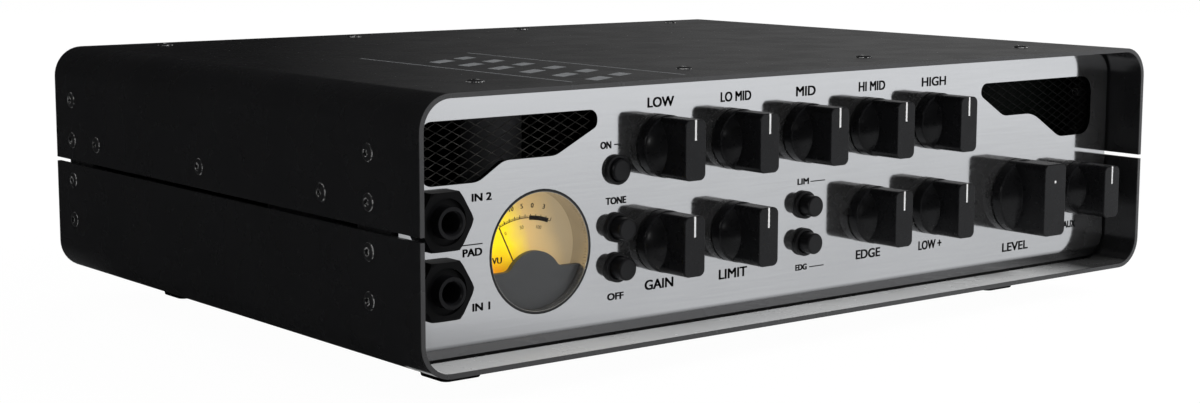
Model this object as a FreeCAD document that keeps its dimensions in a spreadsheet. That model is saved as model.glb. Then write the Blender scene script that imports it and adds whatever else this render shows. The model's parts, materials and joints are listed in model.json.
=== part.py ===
import FreeCAD, Part
import math
import os
import Sketcher

# Compact bass amplifier head, in millimetres. X runs to the right seen from the front,
# Y runs from the front to the rear and Z points up. The origin lies on the surface that
# the feet stand on, under the middle of the whole object.

doc = FreeCAD.newDocument("BassAmplifierHead")

# Driving dimensions: name, value in millimetres (angles in degrees), meaning.
DIMENSIONS = [
    ("sleeve_width", 335, "covers, left to right"),
    ("sleeve_depth", 249.5, "covers, front to rear"),
    ("sleeve_height", 85, "covers, without the feet"),
    ("sleeve_radius", 11, "outer bend radius of the covers"),
    ("cover_thick", 1.5, "sheet of the covers"),
    ("seam_gap", 1.5, "gap between the two covers"),
    ("seam_level", 42.6, "middle of the gap above the bottom cover's underside"),
    ("foot_height", 10.5, "rubber foot"),
    ("foot_side", 15, "side of the foot's lower face"),
    ("foot_draft", 1, "how much wider each side of the foot is at its top"),
    ("foot_inset_side", 39.1, "foot centre from the cover's side"),
    ("foot_inset_front", 42.4, "foot centre from the cover's front edge"),
    ("foot_inset_rear", 29.2, "foot centre from the cover's rear edge"),
    ("panel_recess", 15.5, "front panel behind the covers' front edge"),
    ("panel_gap", 1, "gap all round the front panel"),
    ("panel_thick", 2, "front panel plate"),
    ("panel_radius", 8.5, "corner radius of the front panel"),
    ("bracket_thick", 1.2, "steel bracket behind the front panel"),
    ("bracket_flange", 18, "depth of the bracket's flanges"),
    ("tray_radius", 10.5, "corner radius of the bracket and the rear panel"),
    ("flange_setback", 15, "how far a flange ends before the corner"),
    ("rear_recess", 26.5, "rear panel ahead of the covers' rear edge"),
    ("rear_thick", 1.5, "rear panel sheet"),
    ("rear_flange", 18, "depth of the rear panel's flanges"),
    ("rail_low", 45.2, "lower edge of a side rail above the cover's underside"),
    ("rail_height", 13, "height of a side rail"),
    ("rail_ledge", 12, "width of a side rail's ledge"),
    ("screw_hole", 1.65, "radius of the holes for the cover screws"),
    ("screw_shank", 1.5, "radius of a cover screw's shank"),
    ("screw_head", 2.9, "radius of a cover screw's head"),
    ("screw_dome", 0.8, "height of a cover screw's head"),
    ("screw_length", 6, "length of a cover screw's shank"),
    ("screw_from_front", 28.2, "front screw columns behind the front edge"),
    ("screw_from_rear", 13.8, "rear screw columns ahead of the rear edge"),
    ("screw_level_first", 20.6, "lowest side screw above the cover's underside"),
    ("screw_level_pitch", 15.1, "step between the side screws of a column"),
    ("rail_screw_first", 55.5, "first screw of the rail row behind the front edge"),
    ("rail_screw_pitch", 79.8, "step between the screws of the rail row"),
    ("top_screw_inner", 42.5, "inner top screws from the middle"),
    ("top_screw_outer", 128, "outer top screws from the middle"),
    ("knob_first", -63.3, "left column of knobs"),
    ("knob_pitch", 32.3, "step between the knob columns"),
    ("knob_upper_level", 61.7, "upper row of knobs"),
    ("knob_lower_level", 30.5, "lower row of knobs"),
    ("knob_radius", 10.3, "skirt of a small knob"),
    ("knob_bar_width", 8.7, "grip bar of a small knob"),
    ("knob_reach", 17.2, "face of a small knob in front of the panel"),
    ("big_knob_place", 112.9, "big knob from the middle"),
    ("big_knob_radius", 13.9, "skirt of the big knob"),
    ("big_knob_bar_width", 12, "grip bar of the big knob"),
    ("big_knob_reach", 18.7, "face of the big knob in front of the panel"),
    ("end_knob_place", 148.2, "last small knob from the middle"),
    ("knob_skirt_depth", 3.7, "thickness of a knob's skirt"),
    ("dome_rise", 5, "rise of the dome between a knob's skirt and its bar"),
    ("dome_radius", 11.9, "radius of a small knob's dome"),
    ("big_dome_radius", 20.2, "radius of the big knob's dome"),
    ("knob_lift", 0.5, "air between a knob and the panel"),
    ("knob_corner", 2.2, "corner radius of a knob's grip bar"),
    ("bar_trim", 0.45, "how far a grip bar ends inside its skirt"),
    ("shaft_radius", 3, "shaft of a potentiometer"),
    ("shaft_clearance", 0.06, "running clearance round a shaft"),
    ("bushing_radius", 3.5, "threaded bushing of a potentiometer"),
    ("bushing_reach", 4.4, "bushing in front of the panel"),
    ("pot_radius", 8.3, "can of a potentiometer"),
    ("pot_depth", 9, "can of a potentiometer, front to rear"),
    ("pot_nut_flats", 10, "nut of a potentiometer across its flats"),
    ("pot_nut_thick", 2, "nut of a potentiometer"),
    ("button_left", -82, "left column of buttons"),
    ("button_middle", 1.3, "middle column of buttons"),
    ("button_high_level", 55.3, "single upper button"),
    ("button_upper_level", 36.6, "upper button of a pair"),
    ("button_lower_level", 23.6, "lower button of a pair"),
    ("button_radius", 3.65, "push button"),
    ("button_clearance", 0.15, "gap between a button and its collar"),
    ("button_reach", 6.3, "face of a button that is out"),
    ("button_travel", 3.1, "travel of a button"),
    ("collar_radius", 4.85, "collar round a button"),
    ("collar_reach", 1.6, "collar in front of the panel"),
    ("collar_barrel", 4.3, "radius of the collar's barrel in the panel"),
    ("jack_place", -150.5, "column of input jacks"),
    ("jack_upper_level", 45.1, "upper input jack"),
    ("jack_lower_level", 23.9, "lower input jack"),
    ("jack_bore", 3.25, "radius of the bore for the plug"),
    ("jack_mouth", 3.9, "radius of the bore's flared mouth"),
    ("jack_bushing", 5, "radius of the jack's threaded bushing"),
    ("jack_reach", 7, "end of the bushing in front of the panel"),
    ("jack_body_side", 17, "side of the jack's body"),
    ("jack_body_depth", 24, "depth of the jack's body"),
    ("jack_nut_flats", 18, "hexagonal nut of an input jack across its flats"),
    ("jack_nut_thick", 4, "hexagonal nut of an input jack"),
    ("meter_place", -112.2, "meter from the middle"),
    ("meter_level", 31.75, "meter's centre above the cover's underside"),
    ("meter_hole", 19.75, "radius of the hole in the panel"),
    ("meter_shell", 19.6, "outer radius of the meter's housing"),
    ("meter_wall", 0.8, "wall of the meter's housing"),
    ("meter_depth", 20, "housing behind the panel's face"),
    ("dial_depth", 8, "dial behind the panel's face"),
    ("needle_depth", 6, "needle behind the panel's face"),
    ("needle_length", 26.6, "needle from its pivot"),
    ("needle_rest", 26, "angle of the needle at rest, left of upright"),
    ("pivot_drop", 16, "needle's pivot below the meter's centre"),
    ("hump_radius", 11, "hump of the meter's lower cover"),
    ("hump_top", -0.2, "top of the hump from the meter's centre"),
    ("hump_valley", -6, "level of the lower cover beside its hump"),
    ("window_top_left", 75.1, "upper edge of the left window"),
    ("window_top_right", 73.7, "upper edge of the right window"),
    ("mesh_thick", 0.8, "vent mesh"),
    ("mesh_margin", 2, "mesh beyond its window"),
    ("mesh_pitch_wide", 5.9, "step of the mesh, side to side"),
    ("mesh_pitch_high", 3.0, "step of the mesh, up and down"),
    ("mesh_strand", 0.5, "strand of the mesh"),
    ("board_thick", 1.6, "circuit boards"),
    ("standoff_height", 8, "power board above the bottom cover"),
    ("fan_side", 60, "fan frame"),
    ("fan_depth", 15, "fan frame, front to rear"),
    ("fan_place", 124, "fan from the middle"),
    ("connector_level", 43.5, "connectors of the rear panel above the cover's underside"),
    ("inlet_place", -135, "mains inlet"),
    ("switch_place", -101, "rocker switch"),
    ("speaker_first", -66, "first speaker socket"),
    ("speaker_pitch", 34, "step between the speaker sockets"),
    ("balanced_place", 4, "balanced output socket"),
    ("rear_jack_first", 40, "first column of rear jacks"),
    ("rear_jack_pitch", 24, "step between the columns of rear jacks"),
    ("rear_jack_upper", 56, "upper rear jacks"),
    ("rear_jack_lower", 31, "lower rear jacks"),
]


class Size:
    """A length that keeps its number and the spreadsheet formula behind it."""

    def __init__(self, number, formula):
        self.number = number
        self.formula = formula

    def __add__(self, other):
        other = as_size(other)
        return Size(self.number + other.number, "(%s + %s)" % (self.formula, other.formula))

    def __sub__(self, other):
        other = as_size(other)
        return Size(self.number - other.number, "(%s - %s)" % (self.formula, other.formula))

    def __mul__(self, factor):
        return Size(self.number * factor, "(%s * %r)" % (self.formula, float(factor)))

    def __truediv__(self, factor):
        return Size(self.number / factor, "(%s / %r)" % (self.formula, float(factor)))

    def __radd__(self, other):
        return as_size(other) + self

    def __rsub__(self, other):
        return as_size(other) - self

    def __rmul__(self, factor):
        return self * factor

    def __neg__(self):
        return Size(-self.number, "(-%s)" % self.formula)


def as_size(value):
    if isinstance(value, Size):
        return value
    return Size(float(value), "%r" % float(value))


class Sheet:
    """The driving dimensions, each one an attribute with its own name."""

    def __init__(self, rows):
        cells = doc.addObject("Spreadsheet::Sheet", "Sizes")
        for index, (name, value, meaning) in enumerate(rows, start=1):
            cells.set("A%d" % index, name)
            cells.set("B%d" % index, str(value))
            cells.setAlias("B%d" % index, name)
            cells.set("C%d" % index, meaning)
            setattr(self, name, Size(float(value), "Sizes.%s" % name))


size = Sheet(DIMENSIONS)
doc.recompute()

# Planes and levels that several pieces share.
half_width = size.sleeve_width / 2
inner_half = half_width - size.cover_thick
overhang = size.big_knob_reach - size.panel_recess
front_edge = -(size.sleeve_depth + overhang) / 2 + overhang
rear_edge = front_edge + size.sleeve_depth
panel_face = front_edge + size.panel_recess
panel_back = panel_face + size.panel_thick
bracket_back = panel_back + size.bracket_thick
rear_face = rear_edge - size.rear_recess
rear_inner = rear_face - size.rear_thick
base = size.foot_height
floor_inside = base + size.cover_thick
roof = base + size.sleeve_height
roof_inside = roof - size.cover_thick
seam_low = base + size.seam_level - size.seam_gap / 2
seam_high = base + size.seam_level + size.seam_gap / 2

X_AXIS = FreeCAD.Vector(1, 0, 0)
Y_AXIS = FreeCAD.Vector(0, 1, 0)
Z_AXIS = FreeCAD.Vector(0, 0, 1)
UPRIGHT = FreeCAD.Rotation()
ALONG_Y = FreeCAD.Rotation(X_AXIS, -90)
ALONG_X = FreeCAD.Rotation(Y_AXIS, 90)

subparts = []


def bind(item, prop, value):
    """Sets a property to a number, or ties it to the sheet where the value has a formula."""
    value = as_size(value)
    if "Sizes." in value.formula:
        item.setExpression(prop, value.formula)
    elif prop.startswith("Placement.Base."):
        setattr(item.Placement.Base, prop[-1], value.number)
    else:
        setattr(item, prop, value.number)


def place(item, corner, rotation=UPRIGHT):
    numbers = [as_size(value).number for value in corner]
    item.Placement = FreeCAD.Placement(FreeCAD.Vector(*numbers), rotation)
    for letter, value in zip("xyz", corner):
        if "Sizes." in as_size(value).formula:
            bind(item, "Placement.Base." + letter, value)


def keep(item, label):
    """Makes an object a sub-part: its label is the name of its node."""
    item.Label = label
    subparts.append(item)
    return item


def box(corner, extent):
    item = doc.addObject("Part::Box", "block")
    for prop, value in zip(("Length", "Width", "Height"), extent):
        bind(item, prop, value)
    place(item, corner)
    return item


def turned_box(centre, corner, extent, rotation):
    """A block with its corner at an offset from a centre, turned about that centre."""
    item = box((0, 0, 0), extent)
    offset = rotation.multVec(FreeCAD.Vector(*corner))
    place(item, [as_size(middle) + part for middle, part in zip(centre, offset)], rotation)
    return item


def rod(start, radius, length, rotation=ALONG_Y):
    item = doc.addObject("Part::Cylinder", "rod")
    bind(item, "Radius", radius)
    bind(item, "Height", length)
    place(item, start, rotation)
    return item


def taper(start, first_radius, last_radius, length, rotation=ALONG_Y):
    item = doc.addObject("Part::Cone", "taper")
    bind(item, "Radius1", first_radius)
    bind(item, "Radius2", last_radius)
    bind(item, "Height", length)
    place(item, start, rotation)
    return item


def hexagon(centre, flats, length, rotation=ALONG_Y):
    """A six-sided prism, with a flat side up when it runs along Y."""
    item = doc.addObject("Part::Prism", "hexagon")
    item.Polygon = 6
    bind(item, "Circumradius", flats / math.sqrt(3))
    bind(item, "Height", length)
    place(item, centre, rotation)
    return item


def fuse(pieces, label="union"):
    item = doc.addObject("Part::MultiFuse", label)
    item.Shapes = pieces
    item.Refine = True
    return item


def cut(solid, tools, label="cut"):
    item = doc.addObject("Part::Cut", label)
    item.Base = solid
    item.Tool = tools[0] if len(tools) == 1 else fuse(tools, "tools")
    item.Refine = True
    return item


def group(pieces, label):
    item = doc.addObject("Part::Compound", label)
    item.Links = pieces
    return item


def copy_of(pattern, corner, rotation=UPRIGHT):
    """Another one of a pattern piece, moved and turned into its place."""
    item = doc.addObject("App::Link", "copy")
    item.LinkedObject = pattern
    place(item, corner, rotation)
    return item


def new_body(label):
    return doc.addObject("PartDesign::Body", label)


def new_sketch(body, role, depth, name="outline"):
    """A sketch on one of the body's own planes, moved along its normal by depth."""
    sketch = body.newObject("Sketcher::SketchObject", name)
    plane = [item for item in body.Origin.OriginFeatures if item.Role == role][0]
    sketch.AttachmentSupport = [(plane, "")]
    sketch.MapMode = "FlatFace"
    depth = as_size(depth)
    sketch.AttachmentOffset = FreeCAD.Placement(FreeCAD.Vector(0, 0, depth.number), UPRIGHT)
    if "Sizes." in depth.formula:
        sketch.setExpression("AttachmentOffset.Base.z", depth.formula)
    return sketch


def fix_point(sketch, element, vertex, point):
    """Ties a point of a sketch to its distances from the sketch's origin."""
    axes = (("DistanceX", -2, point[0]), ("DistanceY", -1, point[1]))
    for kind, axis, value in axes:
        value = as_size(value)
        if abs(value.number) < 1e-9:
            sketch.addConstraint(Sketcher.Constraint("PointOnObject", element, vertex, axis))
            continue
        rule = Sketcher.Constraint(kind, -1, 1, element, vertex, value.number)
        index = sketch.addConstraint(rule)
        if "Sizes." in value.formula:
            sketch.setExpression("Constraints[%d]" % index, value.formula)


def draw_polygon(sketch, points):
    first = sketch.GeometryCount
    numbers = [FreeCAD.Vector(as_size(a).number, as_size(b).number, 0) for a, b in points]
    count = len(points)
    for i in range(count):
        sketch.addGeometry(Part.LineSegment(numbers[i], numbers[(i + 1) % count]))
    for i in range(count):
        after = first + (i + 1) % count
        sketch.addConstraint(Sketcher.Constraint("Coincident", first + i, 2, after, 1))
    for i in range(count):
        fix_point(sketch, first + i, 1, points[i])


def draw_rectangle(sketch, low, high):
    draw_polygon(sketch, [low, (high[0], low[1]), high, (low[0], high[1])])


def draw_rounded_rectangle(sketch, low, high, radius):
    """A rectangle whose corners are arcs that run smoothly into its sides."""
    radius = as_size(radius)
    left, bottom, right, top = [as_size(value) for value in low + high]
    corners = [(right, top, 0), (left, top, 90), (left, bottom, 180), (right, bottom, 270)]
    centres = []
    for x, z, turn in corners:
        inward_x = radius if x is left else -radius
        inward_z = radius if z is bottom else -radius
        centres.append((x + inward_x, z + inward_z))
    first = sketch.GeometryCount
    ends = []
    for (x, z), (corner_x, corner_z, turn) in zip(centres, corners):
        middle = FreeCAD.Vector(x.number, z.number, 0)
        circle = Part.Circle(middle, Z_AXIS, radius.number)
        arc = Part.ArcOfCircle(circle, math.radians(turn), math.radians(turn + 90))
        sketch.addGeometry(arc)
        ends.append((arc.StartPoint, arc.EndPoint))
    for i in range(4):
        sketch.addGeometry(Part.LineSegment(ends[i][1], ends[(i + 1) % 4][0]))
    for i in range(4):
        line = first + 4 + i
        after = first + (i + 1) % 4
        sketch.addConstraint(Sketcher.Constraint("Tangent", first + i, 2, line, 1))
        sketch.addConstraint(Sketcher.Constraint("Tangent", line, 2, after, 1))
        sketch.addConstraint(Sketcher.Constraint("Horizontal" if i % 2 == 0 else "Vertical", line))
    index = sketch.addConstraint(Sketcher.Constraint("Radius", first, radius.number))
    if "Sizes." in radius.formula:
        sketch.setExpression("Constraints[%d]" % index, radius.formula)
    for i in range(1, 4):
        sketch.addConstraint(Sketcher.Constraint("Equal", first, first + i))
    fix_point(sketch, first, 3, centres[0])
    fix_point(sketch, first + 2, 3, centres[2])


def draw_circle(sketch, centre, radius):
    radius = as_size(radius)
    middle = FreeCAD.Vector(as_size(centre[0]).number, as_size(centre[1]).number, 0)
    element = sketch.addGeometry(Part.Circle(middle, Z_AXIS, radius.number))
    index = sketch.addConstraint(Sketcher.Constraint("Radius", element, radius.number))
    if "Sizes." in radius.formula:
        sketch.setExpression("Constraints[%d]" % index, radius.formula)
    fix_point(sketch, element, 3, centre)


def pad(body, sketch, length):
    """Adds material along the sketch's normal."""
    item = body.newObject("PartDesign::Pad", "pad")
    item.Profile = sketch
    bind(item, "Length", length)
    return item


def pocket(body, sketch, length=None, along_normal=False):
    """Removes material against the sketch's normal, or along it; right through if no length."""
    item = body.newObject("PartDesign::Pocket", "pocket")
    item.Profile = sketch
    item.Reversed = along_normal
    if length is None:
        item.Type = "ThroughAll"
    else:
        bind(item, "Length", length)
    return item


def edges_where(shape, test):
    return ["Edge%d" % (i + 1) for i, edge in enumerate(shape.Edges) if test(edge)]


def runs_along(edge, axis):
    ends = [vertex.Point for vertex in edge.Vertexes]
    if len(ends) != 2 or edge.Curve.TypeId != "Part::GeomLine":
        return False
    way = ends[1].sub(ends[0]).normalize()
    return abs(way.dot(axis)) > 0.9999


def is_near(point, **wanted):
    return all(abs(getattr(point, key) - as_size(value).number) < 0.02
               for key, value in wanted.items())


def round_edges(body, radius, test, kind="PartDesign::Fillet"):
    """Rounds (or bevels) the edges of the body's last feature that pass the test."""
    doc.recompute()
    last = body.Tip
    names = edges_where(last.Shape, test)
    if not names:
        raise RuntimeError("no edge to round on " + body.Label)
    item = body.newObject(kind, "rounding")
    item.Base = (last, names)
    bind(item, "Radius" if kind.endswith("Fillet") else "Size", radius)
    return item


def bevel_edges(body, width, test):
    return round_edges(body, width, test, "PartDesign::Chamfer")


# Places of what the front panel carries, as X and level above the bottom cover's underside.

UPPER_KNOBS = ["bass_knob", "low_mid_knob", "middle_knob", "high_mid_knob", "treble_knob"]
LOWER_KNOBS = [("gain_knob", 0), ("compressor_knob", 1), ("drive_knob", 3), ("sub_knob", 4)]


def knob_column(index):
    return size.knob_first + size.knob_pitch * index


def knob_places():
    """Name, X, level and whether it is the big one, for each knob."""
    places = []
    for index, name in enumerate(UPPER_KNOBS):
        places.append((name, knob_column(index), size.knob_upper_level, False))
    for name, index in LOWER_KNOBS:
        places.append((name, knob_column(index), size.knob_lower_level, False))
    places.append(("master_knob", size.big_knob_place, size.knob_lower_level, True))
    places.append(("phones_knob", size.end_knob_place, size.knob_lower_level, False))
    return places


def button_places():
    """Name, X, level and how far the face stands out, for each button."""
    pressed = size.button_reach - size.button_travel
    return [
        ("active_button", size.button_left, size.button_high_level, pressed),
        ("shape_button", size.button_left, size.button_upper_level, size.button_reach),
        ("mute_button", size.button_left, size.button_lower_level, size.button_reach),
        ("compressor_button", size.button_middle, size.button_upper_level, size.button_reach),
        ("drive_button", size.button_middle, size.button_lower_level, size.button_reach),
    ]


JACK_LEVELS = {"upper": size.jack_upper_level, "lower": size.jack_lower_level}

# Corners of the two vent windows with the radius at each, X and level.

LEFT_WINDOW = [
    (-157, size.window_top_left, 4),
    (-89.8, size.window_top_left, 3),
    (-89.8, 69.8, 2.5),
    (-106.4, 61.6, 8),
    (-126.3, 61.6, 8),
    (-136, 55.6, 8),
    (-157, 55.6, 4),
]
RIGHT_WINDOW = [
    (155.3, size.window_top_right, 6),
    (91.6, size.window_top_right, 3),
    (91.6, 69.2, 2.5),
    (104.4, 61.1, 7),
    (121, 61.1, 14),
    (136.7, 51.2, 8),
    (155.3, 51.2, 6),
]


def draw_window(sketch, corners):
    draw_polygon(sketch, [(x, base + level) for x, level, radius in corners])


def round_window(body, corners):
    """Rounds the edges that cross the plate at each corner of a window."""
    for x, level, radius in corners:
        height = base + level
        round_edges(body, radius, lambda edge: runs_along(edge, Y_AXIS)
                    and is_near(edge.CenterOfMass, x=x, z=height))


def rounded_plate(body, width, low, high, back, thick, radius):
    """A plate across the object between two levels, with its four corners rounded."""
    sketch = new_sketch(body, "XZ_Plane", -back)
    draw_rectangle(sketch, (-width / 2, low), (width / 2, high))
    pad(body, sketch, thick)
    round_edges(body, radius, lambda edge: runs_along(edge, Y_AXIS))


# Covers.

def side_screw_levels(count, first):
    return [base + size.screw_level_first + size.screw_level_pitch * (first + i)
            for i in range(count)]


front_screw_line = front_edge + size.screw_from_front
rear_screw_line = rear_edge - size.screw_from_rear
lower_levels = side_screw_levels(2, 0)
upper_levels = side_screw_levels(2, 2)
rail_level = upper_levels[0]
rail_screw_lines = [front_edge + size.rail_screw_first + size.rail_screw_pitch * i
                    for i in range(3)]
top_screw_columns = [-size.top_screw_outer, -size.top_screw_inner,
                     size.top_screw_inner, size.top_screw_outer]


def drill_sides(body, places):
    """Drills both side walls at the given lines and levels."""
    sketch = new_sketch(body, "YZ_Plane", -half_width - 1, "side_holes")
    for line, level in places:
        draw_circle(sketch, (line, level), size.screw_hole)
    pocket(body, sketch, along_normal=True)


def channel(body, foot, crown, open_end):
    """A bent sheet: a floor or roof at the crown and a wall on each side to the open end."""
    inner_crown = crown + size.cover_thick if foot else crown - size.cover_thick
    sketch = new_sketch(body, "XZ_Plane", -rear_edge)
    draw_polygon(sketch, [
        (-half_width, open_end), (-half_width, crown), (half_width, crown),
        (half_width, open_end), (inner_half, open_end), (inner_half, inner_crown),
        (-inner_half, inner_crown), (-inner_half, open_end)])
    pad(body, sketch, size.sleeve_depth)
    outer = size.sleeve_radius
    inner = size.sleeve_radius - size.cover_thick
    for edge_x, edge_z, radius in ((half_width, crown, outer), (inner_half, inner_crown, inner)):
        round_edges(body, radius, lambda edge: runs_along(edge, Y_AXIS)
                    and abs(abs(edge.CenterOfMass.x) - edge_x.number) < 0.02
                    and is_near(edge.CenterOfMass, z=edge_z))


def top_cover():
    body = new_body("top_cover")
    channel(body, False, roof, seam_high)
    places = [(line, level) for line in (front_screw_line, rear_screw_line)
              for level in upper_levels]
    places += [(line, rail_level) for line in rail_screw_lines]
    drill_sides(body, places)
    sketch = new_sketch(body, "XY_Plane", roof + 1, "top_holes")
    for line in (front_screw_line, rear_screw_line):
        for column in top_screw_columns:
            draw_circle(sketch, (column, line), size.screw_hole)
    pocket(body, sketch, 4)
    return keep(body, "top_cover")


FOOT_HOLE = 2.2


def foot_places():
    side = half_width - size.foot_inset_side
    front = front_edge + size.foot_inset_front
    rear = rear_edge - size.foot_inset_rear
    return [(x, y) for x in (-side, side) for y in (front, rear)]


STANDOFF_COLUMNS = (-143, -60, 24)
STANDOFF_LINES = (-78, 52)
STANDOFF_HOLE = 1.6


def bottom_cover():
    body = new_body("bottom_cover")
    channel(body, True, base, seam_low)
    places = [(line, level) for line in (front_screw_line, rear_screw_line)
              for level in lower_levels]
    drill_sides(body, places)
    sketch = new_sketch(body, "XY_Plane", base - 1, "floor_holes")
    for centre in foot_places():
        draw_circle(sketch, centre, FOOT_HOLE)
    for x in STANDOFF_COLUMNS:
        for y in STANDOFF_LINES:
            draw_circle(sketch, (x, y), STANDOFF_HOLE)
    pocket(body, sketch, 4, along_normal=True)
    return keep(body, "bottom_cover")


RAIL_THICK = 1.5


def side_rail(label, side):
    """An angle along the inside of a side wall, just above the gap between the covers."""
    body = new_body(label)
    low = base + size.rail_low
    high = low + size.rail_height
    start = bracket_back + size.bracket_flange + 8
    wall = inner_half * side
    web = (inner_half - RAIL_THICK) * side
    ledge = (inner_half - size.rail_ledge) * side
    sketch = new_sketch(body, "XZ_Plane", -rear_inner)
    draw_polygon(sketch, [(wall, low), (wall, high), (web, high), (web, low + RAIL_THICK),
                          (ledge, low + RAIL_THICK), (ledge, low)])
    pad(body, sketch, rear_inner - start)
    holes = new_sketch(body, "YZ_Plane", (half_width + 1) * side, "rail_holes")
    for line in rail_screw_lines:
        draw_circle(holes, (line, rail_level), size.screw_hole)
    pocket(body, holes, 8, along_normal=side < 0)
    return keep(body, label)


# Rubber feet.

def foot_pattern():
    """One foot under its screw hole, with the recess for the screw's head."""
    body = new_body("foot_pattern")
    lower = size.foot_side / 2
    upper = lower + size.foot_draft
    bottom = new_sketch(body, "XY_Plane", 0, "bottom_outline")
    draw_rounded_rectangle(bottom, (-lower, -lower), (lower, lower), 2.5)
    top = new_sketch(body, "XY_Plane", size.foot_height, "top_outline")
    draw_rounded_rectangle(top, (-upper, -upper), (upper, upper), 2.5)
    loft = body.newObject("PartDesign::AdditiveLoft", "block")
    loft.Profile = bottom
    loft.Sections = [top]
    loft.Ruled = True
    recess = new_sketch(body, "XY_Plane", 0, "screw_recess")
    draw_circle(recess, (0, 0), 4.6)
    pocket(body, recess, 4.5, along_normal=True)
    hole = new_sketch(body, "XY_Plane", 0, "screw_hole")
    draw_circle(hole, (0, 0), FOOT_HOLE)
    pocket(body, hole, along_normal=True)
    return body


def rubber_feet():
    pattern = foot_pattern()
    return keep(group([copy_of(pattern, (x, y, 0)) for x, y in foot_places()], "rubber_feet"),
                "rubber_feet")


# Screws.

def button_screw(label, head_radius, dome, shank_radius, length, socket_flats):
    """A button-head screw that points down from its seat at the origin."""
    body = new_body(label)
    outline = new_sketch(body, "XZ_Plane", 0, "half_section")
    crown = head_radius * 0.55
    rim = dome * 0.35
    draw_polygon(outline, [(0, -length), (shank_radius, -length), (shank_radius, 0),
                           (head_radius, 0), (head_radius, rim), (crown, dome), (0, dome)])
    turn = body.newObject("PartDesign::Revolution", "turned")
    turn.Profile = outline
    turn.ReferenceAxis = (outline, ["V_Axis"])
    turn.Angle = 360
    socket = new_sketch(body, "XY_Plane", dome, "socket")
    corner = as_size(socket_flats) / math.sqrt(3)
    half_flat = as_size(socket_flats) / 2
    draw_polygon(socket, [(corner, 0), (corner / 2, half_flat), (-corner / 2, half_flat),
                          (-corner, 0), (-corner / 2, -half_flat), (corner / 2, -half_flat)])
    pocket(body, socket, dome * 0.6)
    return body


LEFTWARD = FreeCAD.Rotation(Y_AXIS, -90)
REARWARD = FreeCAD.Rotation(X_AXIS, -90)
FRONTWARD = FreeCAD.Rotation(X_AXIS, 90)
DOWNWARD = FreeCAD.Rotation(X_AXIS, 180)


def cover_screws():
    pattern = button_screw("cover_screw_pattern", size.screw_head, size.screw_dome,
                           size.screw_shank, size.screw_length, 2)
    sides = []
    places = [(line, level) for line in (front_screw_line, rear_screw_line)
              for level in lower_levels + upper_levels]
    places += [(line, rail_level) for line in rail_screw_lines]
    for line, level in places:
        sides.append(copy_of(pattern, (-half_width, line, level), LEFTWARD))
        sides.append(copy_of(pattern, (half_width, line, level), ALONG_X))
    keep(group(sides, "side_screws"), "side_screws")
    tops = [copy_of(pattern, (column, line, roof))
            for line in (front_screw_line, rear_screw_line) for column in top_screw_columns]
    keep(group(tops, "top_screws"), "top_screws")


def foot_screws():
    pattern = button_screw("foot_screw_pattern", as_size(4), as_size(2.2), as_size(2),
                           as_size(7.4), 2.5)
    screws = [copy_of(pattern, (x, y, 4.5), DOWNWARD) for x, y in foot_places()]
    return keep(group(screws, "foot_screws"), "foot_screws")


# Front panel, its bracket and the vent meshes.

def front_panel():
    body = new_body("front_panel")
    width = size.sleeve_width - size.cover_thick * 2 - size.panel_gap * 2
    low = floor_inside + size.panel_gap
    high = roof_inside - size.panel_gap
    rounded_plate(body, width, low, high, panel_back, size.panel_thick, size.panel_radius)
    holes = new_sketch(body, "XZ_Plane", -panel_face + 1, "control_holes")
    for name, x, level, big in knob_places():
        draw_circle(holes, (x, base + level), size.bushing_radius + 0.2)
    for name, x, level, reach in button_places():
        draw_circle(holes, (x, base + level), size.collar_barrel + 0.1)
    for level in JACK_LEVELS.values():
        draw_circle(holes, (size.jack_place, base + level), size.jack_bushing + 0.2)
    draw_circle(holes, (size.meter_place, base + size.meter_level), size.meter_hole)
    pocket(body, holes)
    for name, corners in (("left_window", LEFT_WINDOW), ("right_window", RIGHT_WINDOW)):
        window = new_sketch(body, "XZ_Plane", -panel_face + 1, name)
        draw_window(window, corners)
        pocket(body, window)
        round_window(body, corners)
    return keep(body, "front_panel")


def flanges(body, root, length, thick):
    """Four flanges that run from a tray's plate towards +Y, short of its corners."""
    side = inner_half - size.flange_setback
    low = floor_inside + size.flange_setback
    high = roof_inside - size.flange_setback
    strips = [
        ((-side, roof_inside - thick), (side, roof_inside)),
        ((-side, floor_inside), (side, floor_inside + thick)),
        ((-inner_half, low), (-inner_half + thick, high)),
        ((inner_half - thick, low), (inner_half, high)),
    ]
    for first, last in strips:
        sketch = new_sketch(body, "XZ_Plane", -(root + length), "flange")
        draw_rectangle(sketch, first, last)
        pad(body, sketch, length)


def drill_flanges(body, line):
    """Holes for the cover screws through a tray's four flanges."""
    side_holes = new_sketch(body, "YZ_Plane", -half_width - 1, "side_holes")
    for level in lower_levels + upper_levels:
        draw_circle(side_holes, (line, level), size.screw_hole)
    pocket(body, side_holes, along_normal=True)
    top_holes = new_sketch(body, "XY_Plane", roof + 1, "top_holes")
    for column in top_screw_columns:
        draw_circle(top_holes, (column, line), size.screw_hole)
    pocket(body, top_holes, 6)


def window_span(corners):
    """Lowest and highest X and level of a window with the mesh's margin round it."""
    columns = [x for x, level, radius in corners]
    levels = [as_size(level) for x, level, radius in corners]
    low = min(levels, key=lambda level: level.number)
    high = max(levels, key=lambda level: level.number)
    margin = size.mesh_margin
    return min(columns) - margin, max(columns) + margin, base + low - margin, base + high + margin


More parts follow.
